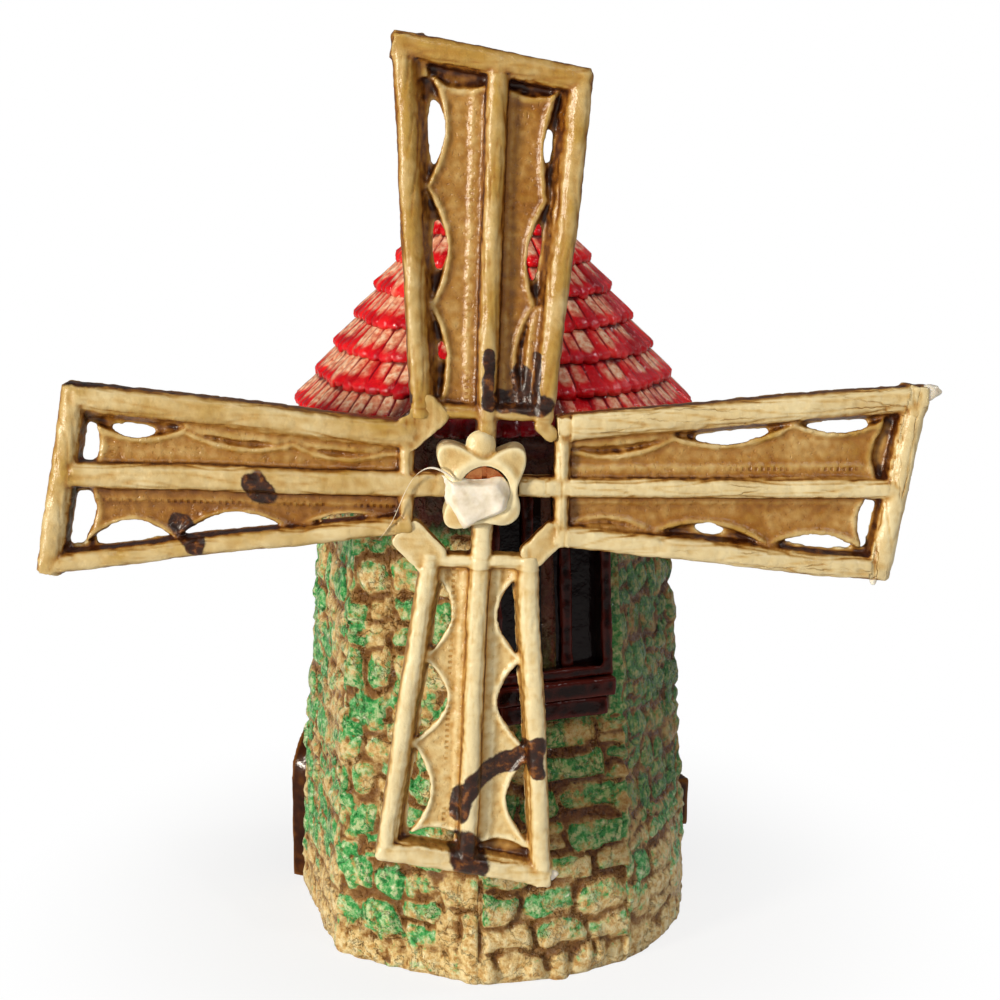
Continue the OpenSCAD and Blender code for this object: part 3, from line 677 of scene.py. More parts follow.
def paint_tower(tower):
    """Keeps where the brush laid green and olive, and the black; the olive is partly painted shade, and the
    black behind the hub is painted shade.
    """
    points = points_of(tower)
    face, u = wall_places(points)[:2]
    z, front = points[:, 2], points[:, 1] < 0
    # More green on the left front and on the middle courses, and bare tan along the foot
    green = 0.49 + 0.22 * (read(tower, "stone") - 0.5) + 0.08 * lumps(points, 22, 6)
    green -= np.where(face == -1, 0.15, 0.18) * ease(26, 5, z)
    green += 0.05 * ((face == 0) | (face == 1)) * ease(34, 50, z)
    keep(tower, "green", green)
    # The shaded side and the place under the window got the thick olive glaze, and its darkening is partly
    # painted shade
    olive_and_shade = by_face(face, SHADED, 0.1) * ease(20, 46, z + 6 * lumps(points, 12, 10))
    keep(tower, "olive_and_shade", np.clip(olive_and_shade, 0, 1))
    # Painted shade on the place behind the hub, and black in the window's pocket
    shade_behind_hub = ease(-23, -13, z - AXLE.z) * ease(36, 26, from_axle(points)) * front
    in_pocket = (np.abs(u) < POCKET_HALF + 1) * (z > POCKET_FOOT - 1) * (z < POCKET_TOP + 1.5)
    keep(tower, "shade_and_black", 0.92 * np.maximum(shade_behind_hub, in_pocket * (face == WINDOW_FACE)))


tower = make_tower()
mark_hollows(tower, 12, 0.75)
paint_tower(tower)
dress(tower, "tower", STONE, "stone_glaze", "tower_shell")


# ---- Roof ----

# Points in a ring, rows of points in a course and over the tip, and the width of a shingle
ROUND, STEPS, TIP_ROWS, SHINGLE_W = 520, 11, 6, 4.7
# The soffit, the ring that drops into the tower, and the hollow: how far up, and the radius there
UNDERSIDE = ((0, 38.8), (-5, 38.8), (0, 34.8), (5, 34.8), (64, 1.0))


def course(i):
    """Radius and height of a course's lower edge."""
    up = i / (COURSES - 1)
    return EAVE_R * (1 - 0.82 * up), TOWER_H + 1.4 + 0.85 * ROOF_H * up


def roof_profile():
    """Radius, height, course and place within the course for each row of the roof."""
    rows = []
    foot_of_tip = TOWER_H + ROOF_H - TIP_H
    for i in range(COURSES):
        r, z = course(i)
        inner, upper, lap = (*course(i + 1), 2.0) if i + 1 < COURSES else (TIP_R, foot_of_tip, 0.0)
        # From under the butt, over its lower edge and up its front
        rows += [(r - 1.6, z + 0.1, i, 0.0), (r - 0.3, z - 0.7, i, 0.0), (r, z + 0.1, i, 0.06),
                 (r - 0.1, z + 1.0, i, 0.15)]
        for s in range(1, STEPS - 3):
            t = s / (STEPS - 3)
            slope = (r - 0.1 + (inner - lap - r + 0.1) * t, z + 1.0 + (upper - z - 1.0) * t)
            rows.append((*slope, i, 0.15 + 0.85 * t))
    for s in range(TIP_ROWS + 1):
        bend = s / TIP_ROWS * math.pi / 2
        rows.append((TIP_R * math.cos(bend) + 0.05, foot_of_tip + TIP_H * math.sin(bend), COURSES - 1, 1.0))
    rows[0] = (EAVE_R - 1.4, TOWER_H + 0.1, 0, 0.0)
    return np.array(rows)


def lay_shingles(roof, profile):
    """Brings the cone to its courses and parts each into shingles, and keeps where they were wiped."""
    points = points_of(roof)
    row = np.rint((points[:, 2] - TOWER_H) / ROOF_H * (len(profile) - 1)).astype(int)
    r, z, i, s = profile[row].T
    a = np.arctan2(points[:, 1], points[:, 0])
    # Each shingle hangs, stands out and is as wide as the thumb that made it
    count = np.rint(2 * np.pi * course(i)[0] / SHINGLE_W)
    ring = np.stack([40 * np.cos(a), 40 * np.sin(a), 12 * i], axis=1)
    turn = a / (2 * np.pi) * count + 0.5 * (i % 2) + 0.22 * lumps(ring, 7, 11)
    number = np.floor(turn)
    p = 2 * (turn - number) - 1

    def dice(k):
        """A chance number for each shingle, from 0 to 1."""
        return np.modf(np.abs(np.sin(number * 12.9898 + i * 78.233 + k) * 43758.5453))[0]

    crown = 1 - p ** 2
    free = np.clip(1.15 - 0.5 * s, 0, 1) * (row < COURSES * STEPS)
    # The roof is faintly eight-sided, as the tower is
    r = r * (1 + 0.012 * np.cos(FACES * (a + math.pi / 2 + math.radians(TURN))))
    r = r + free * (0.35 * crown - 1.0 * np.abs(p) ** 8 + 0.8 * (dice(1) - 0.5) * (1 - s))
    butt = bell(s, 0.22) * (row > 0)
    z = z - butt * (0.3 * crown ** 0.5 + 1.1 * (dice(2) - 0.5)) + 0.3 * lumps(ring, 10, 12) * (row > 0)
    points = np.stack([r * np.cos(a), r * np.sin(a), z], axis=1)
    set_points(roof, points)
    keep(roof, "rise", s)
    streak = lumps(np.stack([EAVE_R * np.cos(a), EAVE_R * np.sin(a), 5 * s + 12 * i], axis=1), 2.2, 14)
    keep(roof, "wiped", 0.24 + 0.3 * ease(0.12, 0.5, s) + 0.1 * crown * s - 0.2 * np.abs(p) ** 5
         + 0.26 * (dice(3) - 0.5) + 0.12 * streak - 0.07 * np.tanh(points[:, 0] / 20))


def make_roof():
    """A cone, cut fine and laid with shingles, then closed underneath."""
    profile = roof_profile()
    bpy.ops.mesh.primitive_cone_add(
        vertices=ROUND, radius1=EAVE_R * MM, radius2=3 * MM, depth=ROOF_H * MM, end_fill_type="NOTHING",
        location=(0, 0, (TOWER_H + ROOF_H / 2) * MM))
    roof = begin("roof")
    pick(roof, "edges", lambda middle, way: abs(way.z) > 0.3)
    bpy.ops.mesh.subdivide(number_cuts=len(profile) - 2)
    leave(roof)
    lay_shingles(roof, profile)
    reopen()
    pick(roof, "edges", lambda middle, way: middle.z < TOWER_H + 0.15)
    extrude_rings(roof, UNDERSIDE)
    bpy.ops.mesh.edge_collapse()
    pick(roof, "edges", lambda middle, way: middle.z > TOWER_H + ROOF_H - 0.02)
    bpy.ops.mesh.edge_collapse()
    leave(roof)
    # The ring is cut away over the washer and the nut
    points = points_of(roof)
    rim = TOWER_H - 0.3
    cut = (points[:, 2] < rim) & (np.abs(points[:, 0] - AXLE.x) < 12) & (points[:, 1] < 0)
    points[cut, 2] = rim
    set_points(roof, points)
    weather(roof, 3.0, 0.12, 13)
    mark_hollows(roof, 6, 0.5)
    # Painted shade under the eave behind the hub, added to the hollows so it takes the deep red
    points = points_of(roof)
    eave_shade = ease(34, 24, from_axle(points)) * (points[:, 1] < 0)
    keep(roof, "hollow", np.maximum(read(roof, "hollow"), eave_shade))
    return roof


dress(make_roof(), "tower", RED, "roof_glaze", "roof_cap")


# ---- Sails ----

# Every sail is made pointing up, with the axle at the origin and its front towards -Y. Each table below
# has a row for the top, right, bottom and left sail, in that order.
SAIL_NAMES = ("sail_top", "sail_right", "sail_bottom", "sail_left")
# Left side, then right side: outer edge of the pole at its root and its tip, width of the pole's front
# and of its inner flank, heights of the cloth's cusps, how far the cusps reach from the middle, how far
# the cloth still reaches in the depth of each scallop, how much of each scallop is open, and whether the
# gap at the end is open
SIDES = (
    (((18.9, 25.0), 4.3, 3.6, (22.6, 46, 75, 100.7), (11.6, 14.6, 16.2, 15.0),
      (10.4, 10.8, 12.2), (0.2, 0.42, 0.6), False),
     ((17.2, 23.6), 4.8, 3.4, (24.0, 46.7, 72.3, 99), (9.0, 11.6, 13.4, 15.4),
      (7.5, 9.4, 12.6), (0.0, 0.55, 0.3), False)),
    (((18.9, 26.2), 5.6, 2.8, (23.7, 47.7, 77.6, 103), (9.8, 13.4, 16.4, 18.6),
      (9.0, 11.5, 14.2), (0.0, 0.6, 0.72), False),
     ((15.8, 24.6), 5.4, 1.2, (21.2, 43, 72.6, 99.2), (11.2, 13.0, 16.0, 18.0),
      (9.0, 10.3, 12.9), (0.0, 0.24, 0.66), True)),
    (((14.9, 22.8), 5.0, 1.4, (24, 46.5, 73.1, 100.9), (9.8, 12.2, 16.2, 18.4),
      (5.8, 6.8, 9.9), (0.85, 0.85, 0.85), False),
     ((15.4, 24.2), 4.4, 2.2, (25.1, 46.8, 70.7, 99.6), (10.2, 13.8, 16.0, 18.2),
      (7.2, 7.3, 10.9), (0.9, 0.9, 0.9), True)),
    (((12.6, 24.6), 4.6, 0.8, (24.8, 47.7, 77.1, 100.6), (9.5, 13.0, 15.6, 18.0),
      (8.4, 8.6, 10.9), (0.7, 0.85, 0.85), True),
     ((16.9, 24.0), 5.6, 3.6, (25.1, 47.5, 74.6, 99.9), (9.0, 10.8, 13.0, 15.6),
      (7.4, 9.0, 10.9), (0.0, 0.0, 0.42), True)))
SPAR_W = (5.2, 5.2, 5.2, 6.5)
# Width of the end pole, height of the cloth's end hem where the gap is open and where it is shut, and
# thickness of the cloth
END_W, HEM_OPEN, HEM_SHUT, CLOTH_T = 5.6, 97.6, 99.2, 1.3
# How far the sail was turned askew when it was set on the hub, and drawn out when it left the mould
SET_TURN = (1.5, 0.2, 2.4, 1.7)
DRAWN = (0.996, 1.01, 0.98, 1.01)
# The web of clay between a sail and the next one: distance from the axle, breadth and width
WEBS = ((22.5, 3.5, 7.0), (20.5, 6.5, 12.0), (20.5, 9.0, 13.0), (21.5, 8.5, 14.0))
# How warm and dark the honey glaze is on the poles and on the cloth, partly painted shade that leaves the
# bottom sail palest, and how much is cracked like bark
AMBER_AND_SHADE = ((0.9, 0.8), (0.45, 0.85), (0.3, 0.0), (0.75, 0.8))
BARK = (0.34, 0.5, 0.22, 0.38)
# How much darker the poles, the left cloth and the right cloth are: more wash, and painted shade on the top
# sail
WASH_AND_SHADE = ((0.08, 0.06, 0.09), (0.01, 0.04, 0.06), (0.02, -0.07, -0.02), (0.01, 0.13, 0.03))
# Where the row of stitches runs: beside the spar, or on the cloth
STITCHES = (-5.0, -4.6, 6.6, -5.6)


def outer(edge, z):
    """Outer edge of a pole at a height."""
    return edge[0] + (edge[1] - edge[0]) * (z - SAIL_ROOT) / (SAIL_END - SAIL_ROOT)


def end_out(x):
    """Outer edge of the end pole."""
    return END_OUT + END_SLOPE * x


def pole(a, b, front, flank, face=POLE_FRONT, rounding=2.0):
    """A squared clay pole whose outer edge runs from a to b. Walking along it, its inner side is on the
    right, and that side slopes out towards the back by the flank."""
    run = Vector((b[0] - a[0], 0, b[1] - a[1]))
    bpy.ops.mesh.primitive_cube_add(size=1)
    piece = bpy.context.object
    piece.scale = (front * MM, (SAIL_BACK - face) * MM, run.length * MM)
    piece.location = (front / 2 * MM, (SAIL_BACK + face) / 2 * MM, run.length / 2 * MM)
    begin("pole")
    pick(piece, "edges", lambda middle, way: abs(way.z) > 0.9 and middle.x > front / 2 and middle.y > 0)
    bpy.ops.transform.translate(value=(flank * MM, 0, 0))
    pick(piece, "edges", lambda middle, way: abs(way.z) > 0.9 and middle.y < 0)
    bpy.ops.mesh.bevel(offset=rounding * MM, segments=3)
    leave(piece)
    way = run.normalized()
    turn = Matrix(((way.z, 0, way.x, 0), (0, 1, 0, 0), (-way.x, 0, way.z, 0), (0, 0, 0, 1)))
    return put(piece, Matrix.Translation(Vector((a[0], 0, a[1])) * MM) @ turn)


def cloth(side, edge, front, flank, cusps, reach, depth, opened, end_open):
    """Cloth between the spar and a pole: scalloped between the cusps, with a rolled hem. Past the hem
    the clay drops to a thin floor, which is cut through in the middle of each scallop."""
    bpy.ops.mesh.primitive_grid_add(x_subdivisions=46, y_subdivisions=176, size=2)
    piece = leave(begin("cloth"))

    def gap(z):
        """Reach of the hem, inner foot of the pole, place within the scallop and its open share."""
        foot = outer(edge, z) - front - flank
        hem = np.interp(z, cusps, reach)
        place, share = np.ones_like(z), np.zeros_like(z)
        for k in range(3):
            q = (2 * z - cusps[k] - cusps[k + 1]) / (cusps[k + 1] - cusps[k])
            bite = (reach[k] + reach[k + 1]) / 2 - depth[k]
            here = np.abs(q) < 1
            hem = hem - np.where(here, bite * (1 - np.abs(q) ** 2.1), 0)
            place, share = np.where(here, np.abs(q), place), np.where(here, opened[k], share)
        return hem, foot, place, share

    def end_hem(a):
        """Height of the hem along the end, at a distance from the spar's middle."""
        slack = 1.6 * np.sin(np.pi * np.clip((a - 2) / 13, 0, 1))
        return (HEM_OPEN if end_open else HEM_SHUT) + side * a * END_SLOPE * 0.5 - slack

    grid = np.array([v.co for v in piece.data.vertices])
    s, t = (grid[:, 0] + 1) / 2, (grid[:, 1] + 1) / 2
    low, top = SAIL_ROOT + 1.0, end_out(side * 12.0) - 3.0
    z = low + t * (top - low)
    hem, foot, place, share = gap(z)
    inner = SPAR_HALF - 0.8
    a = inner + s * (foot + 2.0 - inner)
    last = end_hem(a)
    past = np.maximum(ease(-0.1, 0.7, a - hem), ease(-0.1, 0.9, z - last))
    roll = bell(hem - a - 0.8, 0.75) * (a < hem + 0.6) + 0.7 * bell(last - z - 0.8, 0.8)
    # A strip beside the spar was pressed lower
    strip = ease(6.3, 5.1, a) * 0.7 if side < 0 else ease(5.2, 4.2, a) * 0.6
    y = CLOTH_FRONT - 0.9 * np.clip(roll, 0, 1) - strip + 0.5 * np.sin(np.pi * np.clip(a / 15, 0, 1))
    # Where a scallop was left shut, its floor rises from the hem to the pole
    climb = ease(0.2, 1.0, (a - hem) / np.maximum(foot - hem, 0.5))
    bed = 2.0 - np.where(share > 0, 0, 2.4) * climb
    set_points(piece, np.stack([side * a, y * (1 - past) + bed * past, z], axis=1))

    def cut_out(middle, way):
        hem, foot, place, share = (float(v) for v in gap(np.float64(middle.z)))
        a, shut = side * middle.x, min(1.0, place / max(share, 0.01)) ** 2
        half, centre = (foot - hem) / 2, (foot + hem) / 2
        if place < share and abs(a - centre) < half * (1 - 0.85 * shut) + 0.3 and middle.z < 97:
            return True
        return end_open and end_hem(a) + 0.5 < middle.z < end_out(middle.x) - 6.2 and 4.0 < a < hem - 0.5

    reopen()
    pick(piece, "faces", cut_out)
    bpy.ops.mesh.delete(type="FACE")
    leave(piece)
    return finish(piece, "SOLIDIFY", thickness=CLOTH_T * MM, offset=1.0 if side < 0 else -1.0)


def web(distance, breadth, width):
    """A slab of clay across the corner between two sails."""
    bpy.ops.mesh.primitive_cube_add(size=1)
    bpy.context.object.scale = (width * MM, 4.4 * MM, breadth * MM)
    slab = begin("web")
    pick(slab, "edges", lambda middle, way: abs(way.y) > 0.9)
    bpy.ops.mesh.bevel(offset=1.8 * MM, segments=3)
    leave(slab)
    spin = Matrix.Rotation(math.radians(45), 4, "Y")
    return put(slab, spin @ Matrix.Translation((0, -0.4 * MM, (distance + breadth / 2 - 2.5) * MM)))


def make_sail(quarter):
    """Four poles, a spar, two cloths and a web of clay, fused, worn by hand and turned into place."""
    left, right = SIDES[quarter]
    lo, hi = SAIL_ROOT - 2.4, SAIL_END + 2.6
    root_l, root_r = (-outer(left[0], lo), lo), (outer(right[0], lo), lo)
    tip_l, tip_r = ((x, end_out(x)) for x in (-outer(left[0], hi), outer(right[0], hi)))
    sail = join("sail", [
        pole(root_l, (tip_l[0], tip_l[1] - 1.2), left[1], left[2]),
        pole((tip_r[0], tip_r[1] - 1.2), root_r, right[1], right[2]),
        pole((tip_l[0] + 0.7, tip_l[1] - 0.1), (tip_r[0] - 0.6, tip_r[1]), END_W, 1.4, face=-3.2,
             rounding=2.3),
        pole(root_r, root_l, 3.6, 0.8, face=-2.7),
        pole((-SPAR_HALF, 8.5), (-SPAR_HALF + 0.4, end_out(0) - 2.2), SPAR_W[quarter], 0, rounding=2.3),
        cloth(-1, *left), cloth(1, *right), web(*WEBS[quarter])])
    fuse(sail, 0.5, 3)
    # Hand-bent poles
    points = points_of(sail)
    points = points + np.stack([amount * lumps(points, 30, seed + quarter)
                                for amount, seed in ((0.6, 20), (0.5, 30), (0.5, 40))], axis=1)
    # Along and across run with the pole that a point is on
    x, y, z = points.T
    on_end = (z > end_out(x) - END_W) | (z < SAIL_ROOT + 1.6)
    lay = np.stack([np.where(on_end, z, x), y, np.where(on_end, x, z)], axis=1)
    # Creases along the poles, where the clay was drawn out, and dents of the fingers
    on_pole = ease(-0.9, -1.6, y)
    crease = bell(lumps(lay * (1, 1, 0.16), 2.6, 45 + quarter), 0.11)
    dent = lumps(lay * (1, 1, 0.4), 6.5, 50 + quarter)
    pits = lumps(points, 1.7, 60 + quarter)
    push = on_pole * (0.38 * dent - 0.45 * BARK[quarter] * crease) + (0.10 + 0.08 * (1 - on_pole)) * pits
    push = push + 0.15 * lumps(points, 4.0, 65)
    set_points(sail, points + normals_of(sail) * push[:, None])
    mark_hollows(sail, 9, 0.5)
    # The sides of the poles are darker than their fronts: more of the wash stayed there, and painted shade on
    # the flanks
    side = ease(0.12, 0.75, 1 - np.abs(normals_of(sail)[:, 1])) * (y < 2.4)
    on_cloth = ease(-1.5, -0.9, y) * ease(1.6, 1.1, y) * (np.abs(x) > SPAR_HALF)
    # Each sail's extra darkening: more wash, and painted shade on the top sail
    on_poles, on_left, on_right = WASH_AND_SHADE[quarter]
    wash_and_shade = np.where(on_cloth > 0.5, np.where(x < 0, on_left, on_right), on_poles)
    hollow = read(sail, "hollow")
    keep(sail, "hollow", hollow - 0.4 * on_cloth * (hollow - 0.52) + 0.3 * side - 0.05 * on_pole + wash_and_shade)
    keep(sail, "cloth", on_cloth)
    keep(sail, "seam", np.where(on_end, 9.0, x - STITCHES[quarter]))
    # How warm and dark the honey is here, partly painted shade
    keep(sail, "amber_and_shade", np.where(on_cloth > 0.5, AMBER_AND_SHADE[quarter][1], AMBER_AND_SHADE[quarter][0]))
    keep(sail, "bark", BARK[quarter] * ease(19, 30, z) * on_pole)
    keep_lay(sail, lay)
    turn = Matrix.Rotation(math.radians(90 * quarter + SET_TURN[quarter]), 4, "Y")
    return put(sail, Matrix.Translation(AXLE * MM) @ turn @ Matrix.Diagonal((1, 1, DRAWN[quarter], 1)))


# Strokes of thick brown glaze, each a line of places across and up from the axle, and its half-width
DABS = (
    (((-6.5, -88), (-5.5, -83), (-1, -78), (4, -75), (9, -73.5), (14, -69)), 2.7),
    (((13, -70), (14, -76)), 2.2),
    (((-5, -97), (-3, -103)), 4.5),
    (((1.2, 34), (0.8, 28), (1.2, 21)), 1.5),
    (((4.5, 22.5), (10, 21.5), (14.5, 21.5)), 2.7),
    (((9, 29), (10, 23)), 2.4),
    (((13, 34), (13.5, 24)), 0.9),
    (((-57.5, 1.8), (-55.5, -1.2)), 3.3),
    (((-77, -9), (-73, -14)), 2.7),
    (((-104, 28.8), (-89, 28)), 2.4),
    (((-89, 28), (-72, 26)), 1.3),
    (((-70, 25.8), (-61, 24.6)), 1.9),
    (((-23, 26), (-20, 27), (-18.4, 24), (-19, 20.5), (-21.5, 19)), 0.9))


def paint_dabs(piece):
    """Keeps how thick the brown lies: full inside a stroke, thin at its edge, and none at the back."""
    points = points_of(piece)
    place = points[:, (0, 2)] - np.array([AXLE.x, AXLE.z])
    place = place + 0.8 * np.stack([lumps(points, 4, 71), lumps(points, 4, 72)], axis=1)
    best = np.zeros(len(points))
    for stroke, half in DABS:
        for a, b in zip(stroke, stroke[1:]):
            a, b = np.array(a, float), np.array(b, float)
            t = np.clip(((place - a) @ (b - a)) / ((b - a) @ (b - a)), 0, 1)
            away = np.linalg.norm(place - a - t[:, None] * (b - a), axis=1)
            best = np.maximum(best, np.clip(1.5 - away / half, 0, 1))
    keep(piece, "dab", best * (points[:, 1] < AXLE.y + 1.5))


for quarter, name in enumerate(SAIL_NAMES):
    sail = make_sail(quarter)
    paint_dabs(sail)
    sail.name = sail.data.name = name + "_clay"
    dress(sail, "sails", CREAM, "cream_glaze", name)


# ---- Hub ----

def make_hub():
    """A thick star: a disc whose rim was drawn out into four blunt petals between the spars."""
    bpy.ops.mesh.primitive_circle_add(vertices=96, radius=11.2 * MM, fill_type="NGON", rotation=UPRIGHT)
    hub = leave(begin("hub_clay"))
    points = points_of(hub)
    angle = np.degrees(np.arctan2(points[:, 2], points[:, 0])) % 360
    # Each petal reaches its own length, and between two of them the rim stays close in
    rim = 8.3
    tip = np.interp(angle, (0, 45, 135, 225, 315, 360), (12.6, 14.2, 15.8, 13.2, 10.8, 12.6))
    reach = rim + (tip - rim) * (0.5 - 0.5 * np.cos(np.radians(4 * angle))) ** 1.3
    way = np.radians(angle)
    set_points(hub, np.stack([reach * np.cos(way), points[:, 1], reach * np.sin(way)], axis=1))
    reopen()
    bpy.ops.transform.translate(value=(0, -5.2 * MM, 0))
    extrude(0, 9.2, 0)
    face_outward(hub)
    # The rounded end of the upper spar, standing in front
    bpy.ops.mesh.primitive_uv_sphere_add(segments=24, ring_count=16, radius=3.5 * MM)
    knob = begin("knob")
    bpy.ops.mesh.select_all(action="SELECT")
    bpy.ops.transform.resize(value=(1.08, 0.7, 1.05), center_override=(0, 0, 0))
    leave(knob)
    hub = fuse(join("hub_clay", [hub, put_at(knob, (-0.8, -2.6, 11.6))]), 0.4, 14)
    # A raised lip round the screw's hole
    points = points_of(hub)
    far = np.hypot(points[:, 0], points[:, 2])
    points[:, 1] -= (0.7 * bell(far - 8.0, 1.3) - 0.5 * ease(9, 13, far)) * (points[:, 1] < -3)
    set_points(hub, points)
    # The hole for the screw's head, and the one for its shank: radius, depth and middle
    for name, sides, radius, depth, middle in (
            ("counterbore", 48, 6.5, 12, -6.8), ("shank", 32, 3.05, 30, 0)):
        bpy.ops.mesh.primitive_cylinder_add(vertices=sides, radius=radius * MM, depth=depth * MM,
                                            location=(0, middle * MM, 0), rotation=UPRIGHT)
        cutter = leave(begin(name))
        finish(hub, "BOOLEAN", object=cutter, operation="DIFFERENCE", solver="EXACT")
        bpy.data.objects.remove(cutter)
    weather(hub, 6.0, 0.3, 80)
    weather(hub, 2.4, 0.12, 81)
    mark_hollows(hub, 10, 0.6)
    for name, value in (("cloth", 0), ("seam", 9), ("amber_and_shade", 0.2), ("bark", 0)):
        keep(hub, name, np.full(len(hub.data.vertices), value))
    keep_lay(hub, points_of(hub))
    return put_at(hub, AXLE)


hub = make_hub()
paint_dabs(hub)
dress(hub, "sails", CREAM, "cream_glaze", "hub")


# ---- Glue ----

# Corners of the lump, and places of the thread, across, in depth and up from the axle
LUMP = ((-11.0, 4.4), (-6.2, 3.6), (-1.0, 3.2), (4.6, 3.6), (7.6, -0.4), (6.2, -4.6), (0.8, -8.0),
        (-5.4, -10.4), (-8.8, -5.4))
THREAD = ((-7, -6.5, 3), (-10, -6.6, 5.5), (-13.5, -6.4, 7), (-17, -5.6, 5), (-19.5, -4.8, 1),
          (-21.5, -4.2, -4), (-23.5, -3.6, -9), (-27, -3.4, -13))
# Places of the crumbs from the axle, and their sizes
CRUMBS = ((-109.2, -0.5, -21.0, 1.1), (112.4, -1.0, 24.0, 2.2), (101.0, -0.5, -24.0, 1.4),
          (18.4, -1.0, -106.4, 1.3))


def make_glue():
    """A flat lump of glue pressed over the lower part of the screw's head."""
    bpy.ops.mesh.primitive_circle_add(vertices=len(LUMP), radius=MM, fill_type="NGON", rotation=UPRIGHT)
    glue = leave(begin("glue_lump"))
    for corner, (x, z) in zip(glue.data.vertices, LUMP):
        corner.co = Vector((x, -3.6, z)) * MM
    reopen()
    extrude(0, -4.0, 0)
    bpy.ops.transform.resize(value=(0.72, 1, 0.72), center_override=(-1.5 * MM, 0, -2.5 * MM))
    fuse(face_outward(glue), 0.4, 5)
    weather(glue, 4.5, 0.9, 90)
    return put_at(glue, AXLE)


def draw_thread(name, places, radius):
    """A drawn-out thread of glue: a small ring pulled from place to place."""
    bpy.ops.mesh.primitive_circle_add(vertices=8, radius=radius * MM, fill_type="NGON")
    piece = leave(begin(name))
    way = (Vector(places[1]) - Vector(places[0])).to_track_quat("Z", "Y").to_matrix().to_4x4()
    put(piece, Matrix.Translation(Vector(places[0]) * MM) @ way)
    reopen()
    for a, b in zip(places, places[1:]):
        extrude(*(Vector(b) - Vector(a)))
    finish(face_outward(piece), "SUBSURF", levels=2, render_levels=2)
    return put_at(piece, AXLE)


def scatter_crumbs(name, crumbs):
    """Bits of glue left where the sails were held, each a small ball squeezed out of shape."""
    bits = []
    for x, y, z, size in crumbs:
        bpy.ops.mesh.primitive_ico_sphere_add(subdivisions=3, radius=size * MM)
        bit = begin("crumb")
        bpy.ops.mesh.select_all(action="SELECT")
        bpy.ops.transform.resize(value=(1.5, 0.8, 0.9), center_override=(0, 0, 0))
        bpy.ops.transform.rotate(value=0.7 * x, orient_axis="Y", center_override=(0, 0, 0))
        bits.append(put_at(leave(bit), AXLE + Vector((x, y, z))))
    return weather(join(name, bits), 1.6, 0.7, 95)


dress(make_glue(), "sails", GLUE, "white_glue", "hub_seal")
dress(draw_thread("glue_thread", THREAD, 0.32), "sails", GLUE, "white_glue")
dress(scatter_crumbs("glue_crumbs", CRUMBS), "sails", GLUE, "white_glue")


# ---- Window, doors and boss ----

def soften(name, node, rounds):
    """A copy of a solid, melted as a thick glaze melts: edges round off and faces heave a little."""
    take(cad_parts[node])
    bpy.ops.object.duplicate()
    piece = bpy.context.object
    piece.parent = None
    piece.matrix_world = Matrix.Identity(4)
    piece.name = piece.data.name = name
    take(piece)
    reopen()
    bpy.ops.mesh.remove_doubles(threshold=0.01 * MM)
    leave(piece)
    fuse(piece, 0.5, rounds)
    weather(piece, 9.0, 0.35, len(node))
    weather(piece, 2.6, 0.12, len(node) + 1)
    mark_hollows(piece, 8, 0.4)
    return piece


for node, glaze, rounds in (
        ("window_frame", MAROON, 3), ("window_bars", MAROON, 3), ("window_sill", MAROON, 5),
        ("window_step", MAROON, 5), ("door_frame", DARK, 5), ("door_leaf", DARK, 2),
        ("cellar_window", DARK, 4), ("axle_boss", DARK, 3)):
    dress(soften(node + "_clay", node, rounds), "tower", glaze, "brown_glaze", node)

# The solids that stay as they are
for node, glaze in (("window_pane", BLACK), ("axle_bush", ZINC), ("spacer_washer", ZINC),
                    ("back_washer", ZINC), ("axle_nut", ZINC), ("axle_screw", COPPER)):
    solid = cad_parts[node]
    solid.data.materials.clear()
    solid.data.materials.append(glaze)


# ---- Studio ----

def stage_light(name, place, aim, size, power, tint="#FFFFFF"):
    """A square softbox, in metres and watts."""
    lamp = bpy.data.lights.new(name, "AREA")
    lamp.size, lamp.energy, lamp.color = size, power, ink(tint)[:3]
    stand = bpy.data.objects.new(name, lamp)
    bpy.context.collection.objects.link(stand)
    stand.location = place
    stand.rotation_euler = (Vector(aim) - Vector(place)).to_track_quat("-Z", "Y").to_euler()


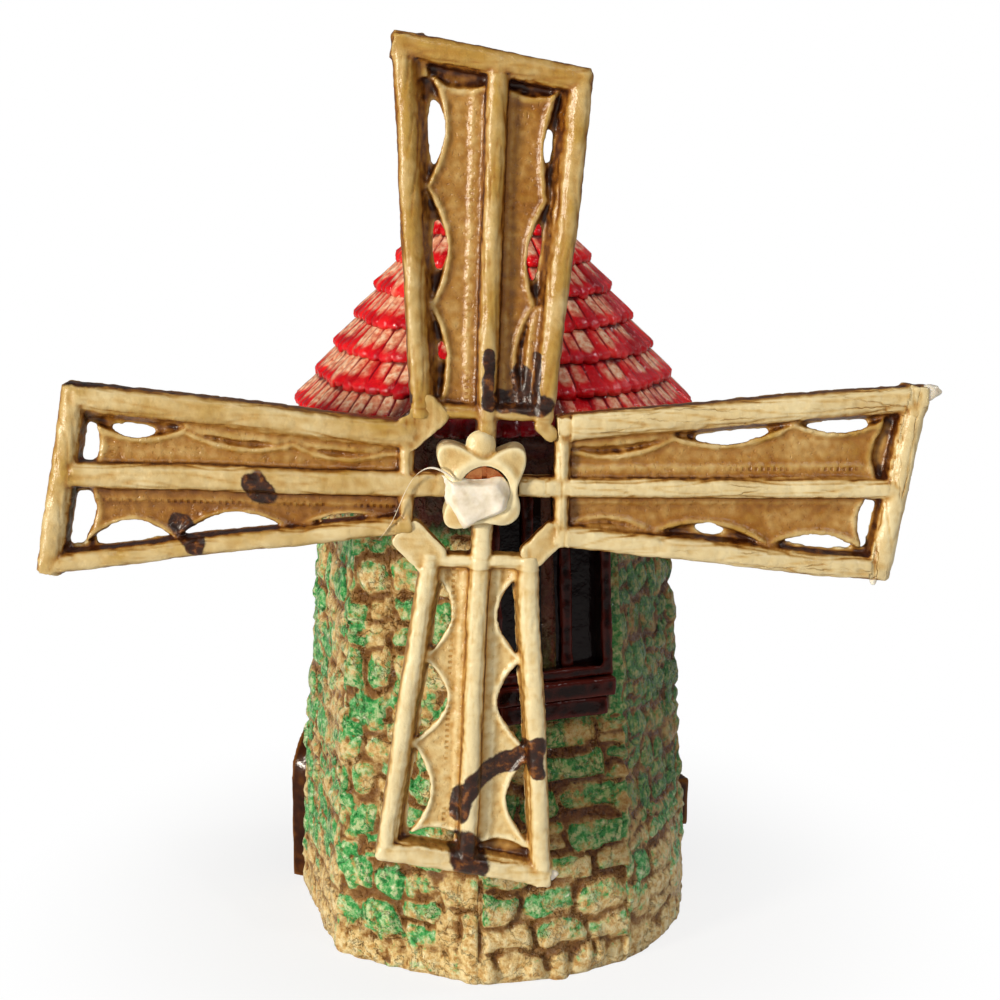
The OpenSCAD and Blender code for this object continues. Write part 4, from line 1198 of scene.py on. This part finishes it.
stage_light("left_softbox", (-1.85, -1.4, 0.45), (0, 0, 0.1), 0.4, 54.0, "#FFF6E6")
stage_light("top_softbox", (-0.1, -0.8, 1.2), (0, 0, 0.12), 0.3, 3.0, "#FFF7EA")
stage_light("right_glint", (0.6, -0.9, 0.8), (0, 0, 0.12), 0.07, 2.2)
stage_light("rim_glint", (0.85, 0.1, 0.75), (0, 0, 0.15), 0.15, 1.8)

# White paper that glows, all but close to the foot, where the object's shadow falls
bpy.ops.mesh.primitive_plane_add(size=6)
floor = leave(begin("floor"))
paper, tree, place = new_glaze("white_paper")
matt = add(tree, "BsdfDiffuse", {"Color": ink("#F4F4F4")})
glow = add(tree, "Emission", {"Color": ink("#FFFFFF"), "Strength": 1.0})
far = add(tree, "VectorMath", [place], operation="LENGTH")
fade = add(tree, "MapRange", (far, 0.05, 0.16, 0.8, 1.0), interpolation_type="SMOOTHSTEP")
share = add(tree, "Math", (add(tree, "LightPath").outputs["Is Camera Ray"], fade), operation="MULTIPLY")
add(tree, "OutputMaterial", [add(tree, "MixShader", (share, matt, glow))])
floor.data.materials.append(paper)

world = bpy.data.worlds.new("studio")
bpy.context.scene.world = world
world.use_nodes = True
tree = world.node_tree
tree.nodes.clear()
path = add(tree, "LightPath").outputs
seen = add(tree, "Math", (path["Is Camera Ray"], path["Is Transmission Ray"]), operation="MAXIMUM")
soft = add(tree, "Background", {"Color": ink("#FFFFFF"), "Strength": 0.15})
white = add(tree, "Background", {"Color": ink("#FFFFFF"), "Strength": 1.0})
add(tree, "OutputWorld", [add(tree, "MixShader", (seen, soft, white))])

lens = bpy.data.cameras.new("camera")
lens.lens, lens.sensor_width, lens.clip_start = 60.64, 36.0, 0.01
camera = bpy.data.objects.new("camera", lens)
bpy.context.collection.objects.link(camera)
# Half a metre off, 13 degrees above, and a hair to the left of the sails' middle
back = Vector((-0.0447, -0.9733, 0.2250))
lean = Matrix.Rotation(math.radians(0.26), 3, "Z")
camera.location = Vector((2.22, 0, 125.47)) * MM + back * 0.5
camera.rotation_euler = (back.to_track_quat("Z", "Y").to_matrix() @ lean).to_euler()
bpy.context.scene.camera = camera
bpy.context.scene.view_settings.view_transform = "Standard"
